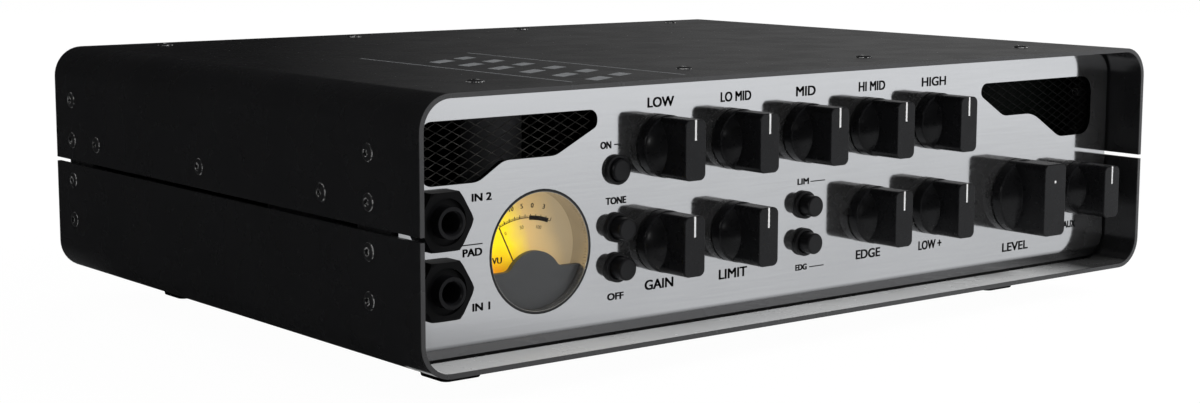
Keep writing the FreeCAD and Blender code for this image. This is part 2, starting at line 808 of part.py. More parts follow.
def front_bracket():
    body = new_body("front_bracket")
    rounded_plate(body, inner_half * 2, floor_inside, roof_inside, bracket_back,
                  size.bracket_thick, size.tray_radius)
    flanges(body, bracket_back, size.bracket_flange, size.bracket_thick)
    holes = new_sketch(body, "XZ_Plane", -panel_face + 1, "control_holes")
    for name, x, level, big in knob_places():
        draw_circle(holes, (x, base + level), size.bushing_radius + 0.2)
    for name, x, level, reach in button_places():
        draw_circle(holes, (x, base + level), size.collar_barrel + 0.1)
    for level in JACK_LEVELS.values():
        draw_circle(holes, (size.jack_place, base + level), size.jack_bushing + 0.2)
    draw_circle(holes, (size.meter_place, base + size.meter_level), size.meter_hole)
    for corners in (LEFT_WINDOW, RIGHT_WINDOW):
        left, right, low, high = window_span(corners)
        draw_rectangle(holes, (left - 0.3, low - 0.3), (right + 0.3, high + 0.3))
    pocket(body, holes)
    drill_flanges(body, front_screw_line)
    return keep(body, "front_bracket")


def vent_mesh(label, corners):
    """An expanded sheet with rows of diamond openings, clipped to whole diamonds."""
    left, right, low, high = [as_size(value).number for value in window_span(corners)]
    wide = size.mesh_pitch_wide.number
    tall = size.mesh_pitch_high.number
    slant = math.hypot(wide, tall)
    half_opening_wide = wide / 2 - size.mesh_strand.number * slant / tall / 2
    half_opening_tall = tall / 2 - size.mesh_strand.number * slant / wide / 2
    back = panel_back.number
    rim = 0.8
    outlines = [Part.makePolygon([FreeCAD.Vector(x, back, z) for x, z in
                                  ((left, low), (right, low), (right, high), (left, high), (left, low))])]
    columns = int((right - left) / wide) + 1
    rows = int((high - low) / tall) * 2 + 1
    for row in range(rows):
        z = low + rim + tall / 2 + row * tall / 2
        for column in range(columns):
            x = left + rim + wide / 2 + column * wide + (row % 2) * wide / 2
            if x + half_opening_wide > right - rim or z + half_opening_tall > high - rim:
                continue
            points = ((x - half_opening_wide, z), (x, z - half_opening_tall),
                      (x + half_opening_wide, z), (x, z + half_opening_tall),
                      (x - half_opening_wide, z))
            outlines.append(Part.makePolygon([FreeCAD.Vector(a, back, b) for a, b in points]))
    face = Part.makeFace(outlines, "Part::FaceMakerBullseye")
    item = doc.addObject("Part::Feature", label)
    item.Shape = face.extrude(FreeCAD.Vector(0, size.mesh_thick.number, 0))
    return keep(item, label)


# Knobs and potentiometers.

NUT_ROOM = 6.6
NUT_ROOM_DEPTH = 3.0


def knob_dome(body, x, z, skirt_front, radius):
    """A low spherical cap on the skirt, sunk a little into it."""
    dome = body.newObject("PartDesign::AdditiveSphere", "dome")
    dome.Angle1 = math.degrees(math.asin((radius - size.dome_rise - 0.05).number
                                         / radius.number))
    bind(dome, "Radius", radius)
    place(dome, (x, skirt_front + radius - size.dome_rise, z), FRONTWARD)


def knob(label, x, level, big):
    """A bar knob with its pointer groove, and the shaft that it turns as a second solid."""
    radius = size.big_knob_radius if big else size.knob_radius
    bar_width = size.big_knob_bar_width if big else size.knob_bar_width
    reach = size.big_knob_reach if big else size.knob_reach
    z = base + level
    back = panel_face - size.knob_lift
    skirt_front = back - size.knob_skirt_depth
    half_bar = radius - size.bar_trim
    body = new_body(label + "_cap")
    skirt = new_sketch(body, "XZ_Plane", -back, "skirt")
    draw_circle(skirt, (x, z), radius)
    pad(body, skirt, size.knob_skirt_depth)
    round_edges(body, 0.5, lambda edge: edge.Curve.TypeId == "Part::GeomCircle"
                and is_near(edge.CenterOfMass, y=skirt_front))
    knob_dome(body, x, z, skirt_front, size.big_dome_radius if big else size.dome_radius)
    bar = new_sketch(body, "XZ_Plane", -back, "grip_bar")
    draw_rounded_rectangle(bar, (x - bar_width / 2, z - half_bar),
                           (x + bar_width / 2, z + half_bar), size.knob_corner)
    pad(body, bar, reach - size.knob_lift)
    round_edges(body, 0.4, lambda edge: edge.BoundBox.YMax < (panel_face - reach).number + 0.01)
    if not big:
        groove = new_sketch(body, "XZ_Plane", -panel_face + reach, "pointer_groove")
        draw_rectangle(groove, (x - 0.45, z + half_bar - 7.2), (x + 0.45, z + half_bar + 1))
        pocket(body, groove, 0.3)
    else:
        dot = new_sketch(body, "XZ_Plane", -panel_face + reach, "pointer_dot")
        draw_circle(dot, (x, z + half_bar - 6.6), 0.8)
        pocket(body, dot, 0.3)
    nut_room = new_sketch(body, "XZ_Plane", -back, "nut_room")
    draw_circle(nut_room, (x, z), NUT_ROOM)
    pocket(body, nut_room, NUT_ROOM_DEPTH, along_normal=True)
    bushing_room = new_sketch(body, "XZ_Plane", -back, "bushing_room")
    draw_circle(bushing_room, (x, z), size.bushing_radius + 0.3)
    pocket(body, bushing_room, size.bushing_reach + 0.1, along_normal=True)
    shaft_bore = new_sketch(body, "XZ_Plane", -back, "shaft_bore")
    draw_circle(shaft_bore, (x, z), size.shaft_radius)
    pocket(body, shaft_bore, 12.5, along_normal=True)
    shaft_end = back - 12.4
    shaft = rod((x, shaft_end, z), size.shaft_radius, bracket_back + 3 - shaft_end)
    return keep(group([body, shaft], label), label)


def hex_nut(x, y, z, flats, thick, bore):
    solid = hexagon((x, y, z), flats, thick)
    return cut(solid, [rod((x, y - 1, z), bore, thick + 2)])


def potentiometer(x, level):
    """The can behind the bracket and the bushing through the panel, with the shaft's bore."""
    z = base + level
    can = rod((x, bracket_back, z), size.pot_radius, size.pot_depth)
    tip = panel_face - size.bushing_reach
    bushing = rod((x, tip, z), size.bushing_radius, bracket_back + 0.5 - tip)
    foot = box((x - 6, bracket_back + size.pot_depth - 2.5, z - size.pot_radius - 3),
               (12, 2, size.pot_radius))
    bore = rod((x, tip - 1, z), size.shaft_radius + size.shaft_clearance,
               bracket_back + 3.3 - tip + 1)
    return cut(fuse([can, bushing, foot]), [bore])


def potentiometers():
    cans = [potentiometer(x, level) for name, x, level, big in knob_places()]
    keep(group(cans, "potentiometers"), "potentiometers")
    nuts = [hex_nut(x, panel_face - size.pot_nut_thick, base + level, size.pot_nut_flats,
                    size.pot_nut_thick, size.bushing_radius)
            for name, x, level, big in knob_places()]
    keep(group(nuts, "pot_nuts"), "pot_nuts")


# Push buttons.

STEM_RADIUS = 1.8
BUTTON_BACK = 2.2
SWITCH_DEPTH = 11


def push_button(label, x, level, reach):
    """A round cap in its collar, with a stem that runs back into the switch."""
    body = new_body(label)
    z = base + level
    cap = new_sketch(body, "XZ_Plane", -(panel_face - reach + size.button_reach + BUTTON_BACK), "cap")
    draw_circle(cap, (x, z), size.button_radius)
    pad(body, cap, size.button_reach + BUTTON_BACK)
    round_edges(body, 0.7, lambda edge: is_near(edge.CenterOfMass, y=panel_face - reach))
    stem_back = bracket_back + 7.5 + size.button_reach - reach
    stem = new_sketch(body, "XZ_Plane", -stem_back, "stem")
    draw_circle(stem, (x, z), STEM_RADIUS)
    pad(body, stem, stem_back - panel_face - 1)
    return keep(body, label)


def button_collar(x, level):
    z = base + level
    flange = rod((x, panel_face - size.collar_reach, z), size.collar_radius, size.collar_reach)
    barrel = rod((x, panel_face - 0.5, z), size.collar_barrel, bracket_back - panel_face + 0.5)
    bore = rod((x, panel_face - 5, z), size.button_radius + size.button_clearance, 20)
    return cut(fuse([flange, barrel]), [bore])


def push_switch(x, level):
    z = base + level
    case = box((x - 4.5, bracket_back + 2.5, z - 4.5), (9, SWITCH_DEPTH, 9))
    bore = rod((x, bracket_back, z), STEM_RADIUS + 0.2, SWITCH_DEPTH + 1.5)
    return cut(case, [bore])


def push_buttons():
    for name, x, level, reach in button_places():
        push_button(name, x, level, reach)
    collars = [button_collar(x, level) for name, x, level, reach in button_places()]
    keep(group(collars, "button_collars"), "button_collars")
    switches = [push_switch(x, level) for name, x, level, reach in button_places()]
    keep(group(switches, "push_switches"), "push_switches")


# Input jacks.

def input_jack(label, level):
    """A moulded jack with a blind bore for the plug that opens through a threaded bushing."""
    x = size.jack_place
    z = base + level
    tip = panel_face - size.jack_reach
    half = size.jack_body_side / 2
    case = box((x - half, bracket_back, z - half),
               (size.jack_body_side, size.jack_body_depth, size.jack_body_side))
    bushing = rod((x, tip, z), size.jack_bushing, bracket_back + 1 - tip)
    bore = rod((x, tip - 1, z), size.jack_bore, bracket_back + size.jack_body_depth - 1 - tip)
    mouth = taper((x, tip - 0.05, z), size.jack_mouth + 0.05, size.jack_bore, 0.8)
    return keep(cut(fuse([case, bushing]), [bore, mouth], label), label)


def input_jacks():
    nuts = []
    for name, level in JACK_LEVELS.items():
        input_jack(name + "_input_jack", level)
        x = size.jack_place
        y = panel_face - size.jack_nut_thick
        z = base + level
        nut = hexagon((x, y, z), size.jack_nut_flats, size.jack_nut_thick)
        bevel = doc.addObject("Part::Cone", "bevel")
        bind(bevel, "Radius1", size.jack_nut_flats / 2 + 0.5)
        bind(bevel, "Radius2", size.jack_nut_flats / 2 + 0.5 + size.jack_nut_thick * 1.6)
        bind(bevel, "Height", size.jack_nut_thick)
        place(bevel, (x, y, z), ALONG_Y)
        common = doc.addObject("Part::Common", "bevelled")
        common.Base = nut
        common.Tool = bevel
        dish = rod((x, y - 1, z), 7.2, 2.2)
        hole = rod((x, y - 1, z), size.jack_bushing, size.jack_nut_thick + 2)
        nuts.append(cut(common, [dish, hole]))
    keep(group(nuts, "input_jack_nuts"), "input_jack_nuts")


# Round needle meter.

meter_x = size.meter_place
meter_z = base + size.meter_level
pivot_z = meter_z - size.pivot_drop
meter_bore = size.meter_shell - size.meter_wall
dial_face = panel_face + size.dial_depth
needle_face = panel_face + size.needle_depth
DIAL_THICK = 0.8
NEEDLE_THICK = 0.5
PIVOT_RADIUS = 0.8


def meter_housing():
    """A cup behind the panel with a flange that rests on the bracket."""
    shell = rod((meter_x, panel_face, meter_z), size.meter_shell, size.meter_depth)
    flange = rod((meter_x, bracket_back, meter_z), size.meter_shell + 2.4, 1.6)
    room = rod((meter_x, panel_face - 1, meter_z), meter_bore, size.meter_depth - 0.6)
    return keep(cut(fuse([shell, flange]), [room], "meter_housing"), "meter_housing")


def meter_lens():
    body = new_body("meter_lens")
    sketch = new_sketch(body, "XZ_Plane", -(panel_face + 1.9), "disc")
    draw_circle(sketch, (meter_x, meter_z), meter_bore)
    pad(body, sketch, 1.7)
    bevel_edges(body, 0.3, lambda edge: is_near(edge.CenterOfMass, y=panel_face + 0.2))
    return keep(body, "meter_lens")


def meter_dial():
    plate = rod((meter_x, dial_face, meter_z), meter_bore, DIAL_THICK)
    hole = rod((meter_x, dial_face - 1, pivot_z), PIVOT_RADIUS + 0.5, 4)
    return keep(cut(plate, [hole], "meter_dial"), "meter_dial")


def meter_cover():
    """The lower cover in front of the pivot: a flat-topped segment with a hump."""
    body = new_body("meter_cover")
    back = panel_face + 5.2
    thick = 2
    valley = meter_z + size.hump_valley
    reach = size.meter_shell + 2
    low_part = new_sketch(body, "XZ_Plane", -back, "low_part")
    draw_rectangle(low_part, (meter_x - reach, meter_z - reach), (meter_x + reach, valley))
    pad(body, low_part, thick)
    hump = new_sketch(body, "XZ_Plane", -back, "hump")
    draw_circle(hump, (meter_x, meter_z + size.hump_top - size.hump_radius), size.hump_radius)
    pad(body, hump, thick)
    round_edges(body, 3, lambda edge: runs_along(edge, Y_AXIS)
                and is_near(edge.CenterOfMass, z=valley)
                and abs(edge.CenterOfMass.x - meter_x.number) < 12)
    trim = new_sketch(body, "XZ_Plane", -back, "outside_disc")
    draw_circle(trim, (meter_x, meter_z), meter_bore)
    draw_circle(trim, (meter_x, meter_z), meter_bore + 30)
    pocket(body, trim, thick, along_normal=True)
    return keep(body, "meter_cover")


def meter_needle():
    """A thin arm on a hub, its short tail opposite, and the spindle to the movement."""
    hub = rod((meter_x, needle_face - 0.4, pivot_z), 1.7, 1.3)
    spindle = rod((meter_x, needle_face, pivot_z), PIVOT_RADIUS, 9)
    arm = box((-0.25, 0, 0), (0.5, NEEDLE_THICK, size.needle_length))
    tail = box((-0.6, 0, -2.3), (1.2, NEEDLE_THICK, 2.3))
    turned = fuse([arm, tail], "arm")
    turn = FreeCAD.Rotation(FreeCAD.Vector(0, -1, 0), size.needle_rest.number)
    place(turned, (meter_x, needle_face, pivot_z), turn)
    turned.setExpression("Placement.Rotation.Angle", "Sizes.needle_rest")
    return keep(fuse([hub, spindle, turned], "meter_needle"), "meter_needle")


def meter_movement():
    """The coil block behind the dial, with the bearing for the needle's spindle."""
    start = dial_face + DIAL_THICK
    block = rod((meter_x, start, meter_z - 6), 11, 8)
    bearing = rod((meter_x, start, pivot_z), 2.4, 7.5)
    bore = rod((meter_x, start - 1, pivot_z), PIVOT_RADIUS + 0.06, 7.5)
    return keep(cut(fuse([block, bearing]), [bore], "meter_movement"), "meter_movement")


def meter_lamp():
    stem = rod((meter_x - 13, panel_face + 5.4, meter_z - 9), 1.5, 1.6)
    collar = rod((meter_x - 13, panel_face + 7, meter_z - 9), 1.9, 1)
    return keep(fuse([stem, collar], "meter_lamp"), "meter_lamp")


def meter():
    meter_housing()
    meter_lens()
    meter_dial()
    meter_cover()
    meter_needle()
    meter_movement()
    meter_lamp()


# Boards and power parts inside.

POWER_BOARD_LEFT = -150
POWER_BOARD_RIGHT = 32
POWER_BOARD_FRONT = -86
POWER_BOARD_REAR = 60
power_board_top = floor_inside + size.standoff_height + size.board_thick


def control_board():
    """The upright board behind the potentiometers and switches."""
    y = bracket_back + 14.4
    board = box((-90, y, base + 12), (252, size.board_thick, 62))
    holes = [rod((x, y - 1, base + level), STEM_RADIUS + 0.6, 4)
             for name, x, level, reach in button_places()]
    return keep(cut(board, holes, "control_board"), "control_board")


def power_board():
    board = box((POWER_BOARD_LEFT, POWER_BOARD_FRONT, power_board_top - size.board_thick),
                (POWER_BOARD_RIGHT - POWER_BOARD_LEFT, POWER_BOARD_REAR - POWER_BOARD_FRONT,
                 size.board_thick))
    holes = [rod((x, y, base), STANDOFF_HOLE, 30, UPRIGHT)
             for x in STANDOFF_COLUMNS for y in STANDOFF_LINES]
    return keep(cut(board, holes, "power_board"), "power_board")


def board_standoffs():
    """Hexagonal standoffs with a stud up through the board and one down through the cover."""
    pieces = []
    for x in STANDOFF_COLUMNS:
        for y in STANDOFF_LINES:
            pillar = hexagon((x, y, floor_inside), as_size(6), size.standoff_height, UPRIGHT)
            stud = rod((x, y, base + 0.1), STANDOFF_HOLE - 0.1, power_board_top - base + 2, UPRIGHT)
            pieces.append(fuse([pillar, stud]))
    return keep(group(pieces, "board_standoffs"), "board_standoffs")


HEAT_SINK_FINS = 12


def heat_sink():
    """A finned block that stands on the bottom cover beside the power board."""
    body = new_body("heat_sink")
    width = 110
    fin = 2
    pitch = (width - fin) / (HEAT_SINK_FINS - 1)
    plate = new_sketch(body, "XY_Plane", floor_inside, "base_plate")
    draw_rectangle(plate, (42, -60), (42 + width, 60))
    pad(body, plate, 6)
    first = new_sketch(body, "XY_Plane", floor_inside + 6, "fin")
    draw_rectangle(first, (42, -60), (42 + fin, 60))
    blade = pad(body, first, 34)
    row = body.newObject("PartDesign::LinearPattern", "fins")
    row.Originals = [blade]
    row.Direction = (first, ["H_Axis"])
    row.Length = pitch * (HEAT_SINK_FINS - 1)
    row.Occurrences = HEAT_SINK_FINS
    body.Tip = row
    return keep(body, "heat_sink")


def power_transformer():
    """A ferrite core with its winding, soldered to the power board."""
    floor = power_board_top
    core = fuse([box((-40, -20, floor), (44, 30, 8)), box((-40, -20, floor + 32), (44, 30, 8)),
                 box((-40, -20, floor), (8, 30, 40)), box((-4, -20, floor), (8, 30, 40))])
    winding = rod((-18, -5, floor + 8), 13.5, 24, UPRIGHT)
    return keep(fuse([core, winding], "power_transformer"), "power_transformer")


CAN_PLACES = [(-106.5, -73, 10, 64), (-82, -66, 9, 40), (-128, 10, 12.5, 45), (-98, 10, 12.5, 45),
              (-70, 36, 8, 30), (10, 30, 8, 30)]


def capacitors():
    """Upright cans on the power board, each with a neck rolled in near its foot."""
    cans = []
    for x, y, radius, height in CAN_PLACES:
        foot = rod((x, y, power_board_top), radius, 4, UPRIGHT)
        neck = rod((x, y, power_board_top + 3), radius - 0.9, 4, UPRIGHT)
        can = rod((x, y, power_board_top + 5.5), radius, height - 5.5, UPRIGHT)
        cans.append(fuse([foot, neck, can]))
    return keep(group(cans, "capacitors"), "capacitors")


# Fan behind the slotted outlet of the rear panel.

FAN_TUNNEL = 28
FAN_BLADES = 7
fan_z = base + 42.5
fan_front = rear_inner - size.fan_depth


def fan_housing():
    """A square frame with a round tunnel and the motor mount on three struts at its rear."""
    half = size.fan_side / 2
    frame = box((size.fan_place - half, fan_front, fan_z - half),
                (size.fan_side, size.fan_depth, size.fan_side))
    tunnel = rod((size.fan_place, fan_front - 1, fan_z), FAN_TUNNEL, size.fan_depth + 2)
    screw_holes = [rod((size.fan_place + dx, fan_front - 1, fan_z + dz), 2.15, size.fan_depth + 2)
                   for dx in (-25, 25) for dz in (-25, 25)]
    ring = cut(frame, [tunnel] + screw_holes)
    mount_y = rear_inner - 3
    mount = rod((size.fan_place, mount_y, fan_z), 12, 3)
    pin = rod((size.fan_place, fan_front + 4, fan_z), 1.5, mount_y - fan_front - 3)
    struts = []
    for index in range(3):
        angle = 90 + index * 120
        struts.append(turned_box((size.fan_place, mount_y, fan_z), (-2, 0, 10),
                                 (4, 3, FAN_TUNNEL - 9), FreeCAD.Rotation(Y_AXIS, angle)))
    return keep(fuse([ring, mount, pin] + struts, "fan_housing"), "fan_housing")


def fan_rotor():
    """A hub that turns on the housing's pin, with seven blades set at a slant."""
    hub_front = fan_front + 1
    hub_depth = size.fan_depth - 5
    hub = rod((size.fan_place, hub_front, fan_z), 13, hub_depth)
    bore = rod((size.fan_place, hub_front + 2, fan_z), 1.56, hub_depth)
    blades = []
    for index in range(FAN_BLADES):
        turn = FreeCAD.Rotation(Y_AXIS, index * 360 / FAN_BLADES)
        slant = turn.multiply(FreeCAD.Rotation(Z_AXIS, 38))
        blades.append(turned_box((size.fan_place, hub_front + hub_depth / 2, fan_z),
                                 (-0.8, -5.5, 11), (1.6, 11, 15), slant))
    return keep(cut(fuse([hub] + blades), [bore], "fan_rotor"), "fan_rotor")


# Rear panel and its connectors.

connector_z = base + size.connector_level
INLET_WIDTH = 27.4
INLET_HEIGHT = 20
SWITCH_WIDTH = 13
SWITCH_HEIGHT = 19.2
SPEAKER_RADIUS = 12
BALANCED_RADIUS = 11.6
SOCKET_FLANGE = 2
REAR_JACK_RADIUS = 4.5
REAR_SCREW_SHANK = 1.4
REAR_SCREW_HOLE = 1.5
OUTLET_SLOTS = 9


def speaker_places():
    return [size.speaker_first, size.speaker_first + size.speaker_pitch]


def rear_jack_places():
    return [(size.rear_jack_first + size.rear_jack_pitch * column, level)
            for column in range(2) for level in (size.rear_jack_lower, size.rear_jack_upper)]


def flange_screws(x):
    """Two screws at opposite corners of a connector's flange, X and height."""
    return [(x - 9.8, connector_z + 12.2), (x + 9.8, connector_z - 12.2)]


def fan_screws():
    return [(size.fan_place + dx, fan_z + dz) for dx in (-25, 25) for dz in (-25, 25)]


def rear_panel():
    body = new_body("rear_panel")
    rounded_plate(body, inner_half * 2, floor_inside, roof_inside, rear_face,
                  size.rear_thick, size.tray_radius)
    flanges(body, rear_face, size.rear_flange, size.rear_thick)
    holes = new_sketch(body, "XZ_Plane", -rear_inner + 1, "connector_holes")
    draw_rectangle(holes, (size.inlet_place - INLET_WIDTH / 2, connector_z - INLET_HEIGHT / 2),
                   (size.inlet_place + INLET_WIDTH / 2, connector_z + INLET_HEIGHT / 2))
    draw_rectangle(holes, (size.switch_place - SWITCH_WIDTH / 2, connector_z - SWITCH_HEIGHT / 2),
                   (size.switch_place + SWITCH_WIDTH / 2, connector_z + SWITCH_HEIGHT / 2))
    for x in speaker_places():
        draw_circle(holes, (x, connector_z), SPEAKER_RADIUS + 0.1)
    draw_circle(holes, (size.balanced_place, connector_z), BALANCED_RADIUS + 0.1)
    for x, level in rear_jack_places():
        draw_circle(holes, (x, base + level), REAR_JACK_RADIUS + 0.2)
    for index in range(OUTLET_SLOTS):
        rise = (index - (OUTLET_SLOTS - 1) / 2) * 6
        half = math.sqrt(FAN_TUNNEL ** 2 - rise ** 2) - 1
        draw_rectangle(holes, (size.fan_place - half, fan_z + rise - 2),
                       (size.fan_place + half, fan_z + rise + 2))
    screw_places = fan_screws()
    for x in speaker_places() + [size.balanced_place]:
        screw_places += flange_screws(x)
    for place_x, place_z in screw_places:
        draw_circle(holes, (place_x, place_z), REAR_SCREW_HOLE)
    pocket(body, holes)
    drill_flanges(body, rear_screw_line)
    return keep(body, "rear_panel")


def mains_inlet():
    """A recessed socket with three flat pins and a flange outside the panel."""
    x = size.inlet_place
    flange = box((x - 18, rear_face, connector_z - 13.5), (36, 2.5, 27))
    case = box((x - INLET_WIDTH / 2 + 0.1, rear_face - 24, connector_z - INLET_HEIGHT / 2 + 0.1),
               (INLET_WIDTH - 0.2, 25, INLET_HEIGHT - 0.2))
    well = box((x - 12.2, rear_face - 17, connector_z - 8.4), (24.4, 21, 16.8))
    pins = [box((x + dx - 1, rear_face - 18, connector_z + dz - 2), (2, 15, 4))
            for dx, dz in ((-7, -1.5), (0, 2.5), (7, -1.5))]
    return keep(fuse([cut(fuse([flange, case]), [well])] + pins, "mains_inlet"), "mains_inlet")


ROCKER_TILT = 10
rocker_y = rear_face + 1.5


def power_switch():
    """A frame snapped into the panel and a rocker that tips about a level axis inside it."""
    x = size.switch_place
    flange = box((x - 8, rear_face, connector_z - 11.5), (16, 2, 23))
    case = box((x - SWITCH_WIDTH / 2 + 0.1, rear_face - 14, connector_z - SWITCH_HEIGHT / 2 + 0.1),
               (SWITCH_WIDTH - 0.2, 15, SWITCH_HEIGHT - 0.2))
    well = box((x - 5.2, rear_face - 8, connector_z - 8.6), (10.4, 12, 17.2))
    pin = rod((x - 5.6, rocker_y, connector_z), 1.2, 11.2, ALONG_X)
    frame = fuse([cut(fuse([flange, case]), [well]), pin], "power_switch_frame")
    keep(frame, "power_switch_frame")
    body = new_body("power_rocker")
    outline = new_sketch(body, "YZ_Plane", x - 4.4, "side_profile")
    y = rocker_y
    draw_polygon(outline, [(y - 3, connector_z - 5), (y - 0.5, connector_z - 7.8),
                           (y + 2.2, connector_z - 7.8), (y + 1.6, connector_z),
                           (y + 3.6, connector_z + 7.6), (y + 0.4, connector_z + 7.8),
                           (y - 3, connector_z + 5)])
    pad(body, outline, 8.8)
    round_edges(body, 0.5, lambda edge: edge.CenterOfMass.y > (y + 1.4).number)
    bore = new_sketch(body, "YZ_Plane", x - 5, "pivot_bore")
    draw_circle(bore, (y, connector_z), 1.26)
    pocket(body, bore, along_normal=True)
    keep(body, "power_rocker")


def socket_flange(x):
    """A square plate outside the panel, drilled for its two screws."""
    plate = box((x - 13, rear_face, connector_z - 15.5), (26, SOCKET_FLANGE, 31))
    holes = [rod((hole_x, rear_face - 1, hole_z), REAR_SCREW_HOLE, SOCKET_FLANGE + 2)
             for hole_x, hole_z in flange_screws(x)]
    return cut(plate, holes)


def speaker_socket(label, x):
    """A twist-lock socket: a round well with a hollow post in its middle, in a square flange."""
    flange = socket_flange(x)
    shell = rod((x, rear_face - 22, connector_z), SPEAKER_RADIUS, 24)
    well = rod((x, rear_face - 19, connector_z), 11.2, 24)
    post = rod((x, rear_face - 20, connector_z), 4.6, 19)
    core = rod((x, rear_face - 17, connector_z), 2.6, 24)
    keys = [box((x - 1.2, rear_face - 18, connector_z + 4.4), (2.4, 16, 2.2)),
            box((x - 1.2, rear_face - 18, connector_z - 6.6), (2.4, 16, 2.2))]
    socket = cut(fuse([flange, shell]), [well])
    return keep(fuse([socket, cut(post, [core])] + keys, label), label)


def balanced_output_socket():
    """A round three-pin socket in a flange."""
    x = size.balanced_place
    flange = socket_flange(x)
    shell = rod((x, rear_face - 18, connector_z), BALANCED_RADIUS, 20)
    well = rod((x, rear_face - 15, connector_z), 9.4, 20)
    pins = []
    for angle in (90, 210, 330):
        dx = 3.8 * math.cos(math.radians(angle))
        dz = 3.8 * math.sin(math.radians(angle))
        pins.append(rod((x + dx, rear_face - 16, connector_z + dz), 1.2, 13))
    socket = cut(fuse([flange, shell]), [well])
    return keep(fuse([socket] + pins, "balanced_output_socket"), "balanced_output_socket")


REAR_JACK_REACH = 5
REAR_JACK_DEPTH = 28


def rear_jacks():
    jacks = []
    nuts = []
    for x, level in rear_jack_places():
        z = base + level
        case = box((x - 7.5, rear_inner - REAR_JACK_DEPTH, z - 7.5), (15, REAR_JACK_DEPTH, 15))
        bushing = rod((x, rear_inner - 1, z), REAR_JACK_RADIUS,
                      size.rear_thick + 1 + REAR_JACK_REACH)
        bore = rod((x, rear_inner - REAR_JACK_DEPTH + 2, z), size.jack_bore, 40)
        jacks.append(cut(fuse([case, bushing]), [bore]))
        nuts.append(hex_nut(x, rear_face, z, as_size(14), as_size(2.5), as_size(REAR_JACK_RADIUS)))
    keep(group(jacks, "rear_jacks"), "rear_jacks")
    keep(group(nuts, "rear_jack_nuts"), "rear_jack_nuts")


def rear_screws():
    """Screws at two corners of each connector's flange and at the fan's four corners."""
    pattern = button_screw("rear_screw_pattern", as_size(2.5), as_size(1.5),
                           as_size(REAR_SCREW_SHANK), as_size(5), 1.5)
    screws = [copy_of(pattern, (x, rear_face, z), REARWARD) for x, z in fan_screws()]
    for socket_x in speaker_places() + [size.balanced_place]:
        screws += [copy_of(pattern, (x, rear_face + SOCKET_FLANGE, z), REARWARD)
                   for x, z in flange_screws(socket_x)]
    return keep(group(screws, "rear_screws"), "rear_screws")


def build():
    top_cover()
    bottom_cover()
    side_rail("left_side_rail", -1)
    side_rail("right_side_rail", 1)
    rubber_feet()
    cover_screws()
    foot_screws()
    front_panel()
    front_bracket()
    vent_mesh("left_vent_mesh", LEFT_WINDOW)
    vent_mesh("right_vent_mesh", RIGHT_WINDOW)
    for name, x, level, big in knob_places():
        knob(name, x, level, big)
    potentiometers()
    push_buttons()
    input_jacks()
    meter()
    control_board()
    power_board()
    board_standoffs()
    heat_sink()
    power_transformer()
    capacitors()
    fan_housing()
    fan_rotor()
    rear_panel()
    mains_inlet()
    power_switch()
    for label, x in zip(("left_speaker_socket", "right_speaker_socket"), speaker_places()):
        speaker_socket(label, x)
    balanced_output_socket()
    rear_jacks()
    rear_screws()
    doc.recompute()


def check_and_write():
    """Stops on anything that failed, then writes each sub-part to its own file."""
    for item in doc.Objects:
        if "Invalid" in item.State or "Error" in item.State:
            raise RuntimeError("%s (%s) is %s" % (item.Name, item.Label, item.State))
    os.makedirs("parts", exist_ok=True)
    for item in subparts:
        shape = item.Shape
        if shape.isNull() or not shape.isValid():
            raise RuntimeError(item.Label + " has no valid shape")
        shape.exportStep("parts/%s.step" % item.Label)
        print("%-26s %2d solid(s) %10.1f mm3" % (item.Label, len(shape.Solids), shape.Volume))
    print(len(subparts), "sub-parts written")


build()
check_and_write()
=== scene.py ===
import json
import math

import bmesh
import bpy
from mathutils import Matrix, Vector


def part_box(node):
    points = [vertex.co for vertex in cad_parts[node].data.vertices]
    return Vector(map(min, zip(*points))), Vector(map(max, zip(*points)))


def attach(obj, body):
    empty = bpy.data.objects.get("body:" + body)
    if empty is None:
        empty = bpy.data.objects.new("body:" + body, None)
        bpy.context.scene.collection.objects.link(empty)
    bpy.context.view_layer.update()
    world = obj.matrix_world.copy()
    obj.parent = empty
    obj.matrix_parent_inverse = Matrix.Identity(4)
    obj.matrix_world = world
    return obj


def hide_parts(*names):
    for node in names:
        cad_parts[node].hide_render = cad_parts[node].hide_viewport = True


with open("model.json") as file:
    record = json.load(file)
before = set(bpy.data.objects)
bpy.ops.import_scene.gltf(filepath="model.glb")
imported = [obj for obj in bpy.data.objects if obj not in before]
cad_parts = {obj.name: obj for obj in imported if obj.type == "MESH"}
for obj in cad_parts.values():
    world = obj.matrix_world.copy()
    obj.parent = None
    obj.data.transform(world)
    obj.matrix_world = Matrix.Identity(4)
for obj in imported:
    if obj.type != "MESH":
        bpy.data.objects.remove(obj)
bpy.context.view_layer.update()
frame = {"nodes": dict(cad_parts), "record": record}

MM = 0.001
scene = bpy.context.scene
nodes = frame["nodes"]

# Planes and edges that the visible pieces are set against, read from the solids.
cover_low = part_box("bottom_cover")[0]
cover_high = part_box("top_cover")[1]
PANEL_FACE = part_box("front_panel")[0].y
COVER_BASE = cover_low.z
COVER_TOP = cover_high.z
COVER_SIDE = cover_high.x
FRONT_EDGE = cover_low.y
REAR_EDGE = cover_high.y
SHEET = 1.5 * MM
PRINT_THICK = 0.03 * MM

# Stands a flat shape up, or lays an upright one down.
QUARTER_TURN = Matrix.Rotation(math.radians(90), 4, "X")


def add_object(name, data):
    """An object in the scene."""
    item = bpy.data.objects.new(name, data)
    scene.collection.objects.link(item)
    return item


def mesh_from(work, name):
    """The mesh of a finished bmesh, which is then freed."""
    mesh = bpy.data.meshes.new(name)
    work.to_mesh(mesh)
    work.free()
    return mesh


# Shader trees.


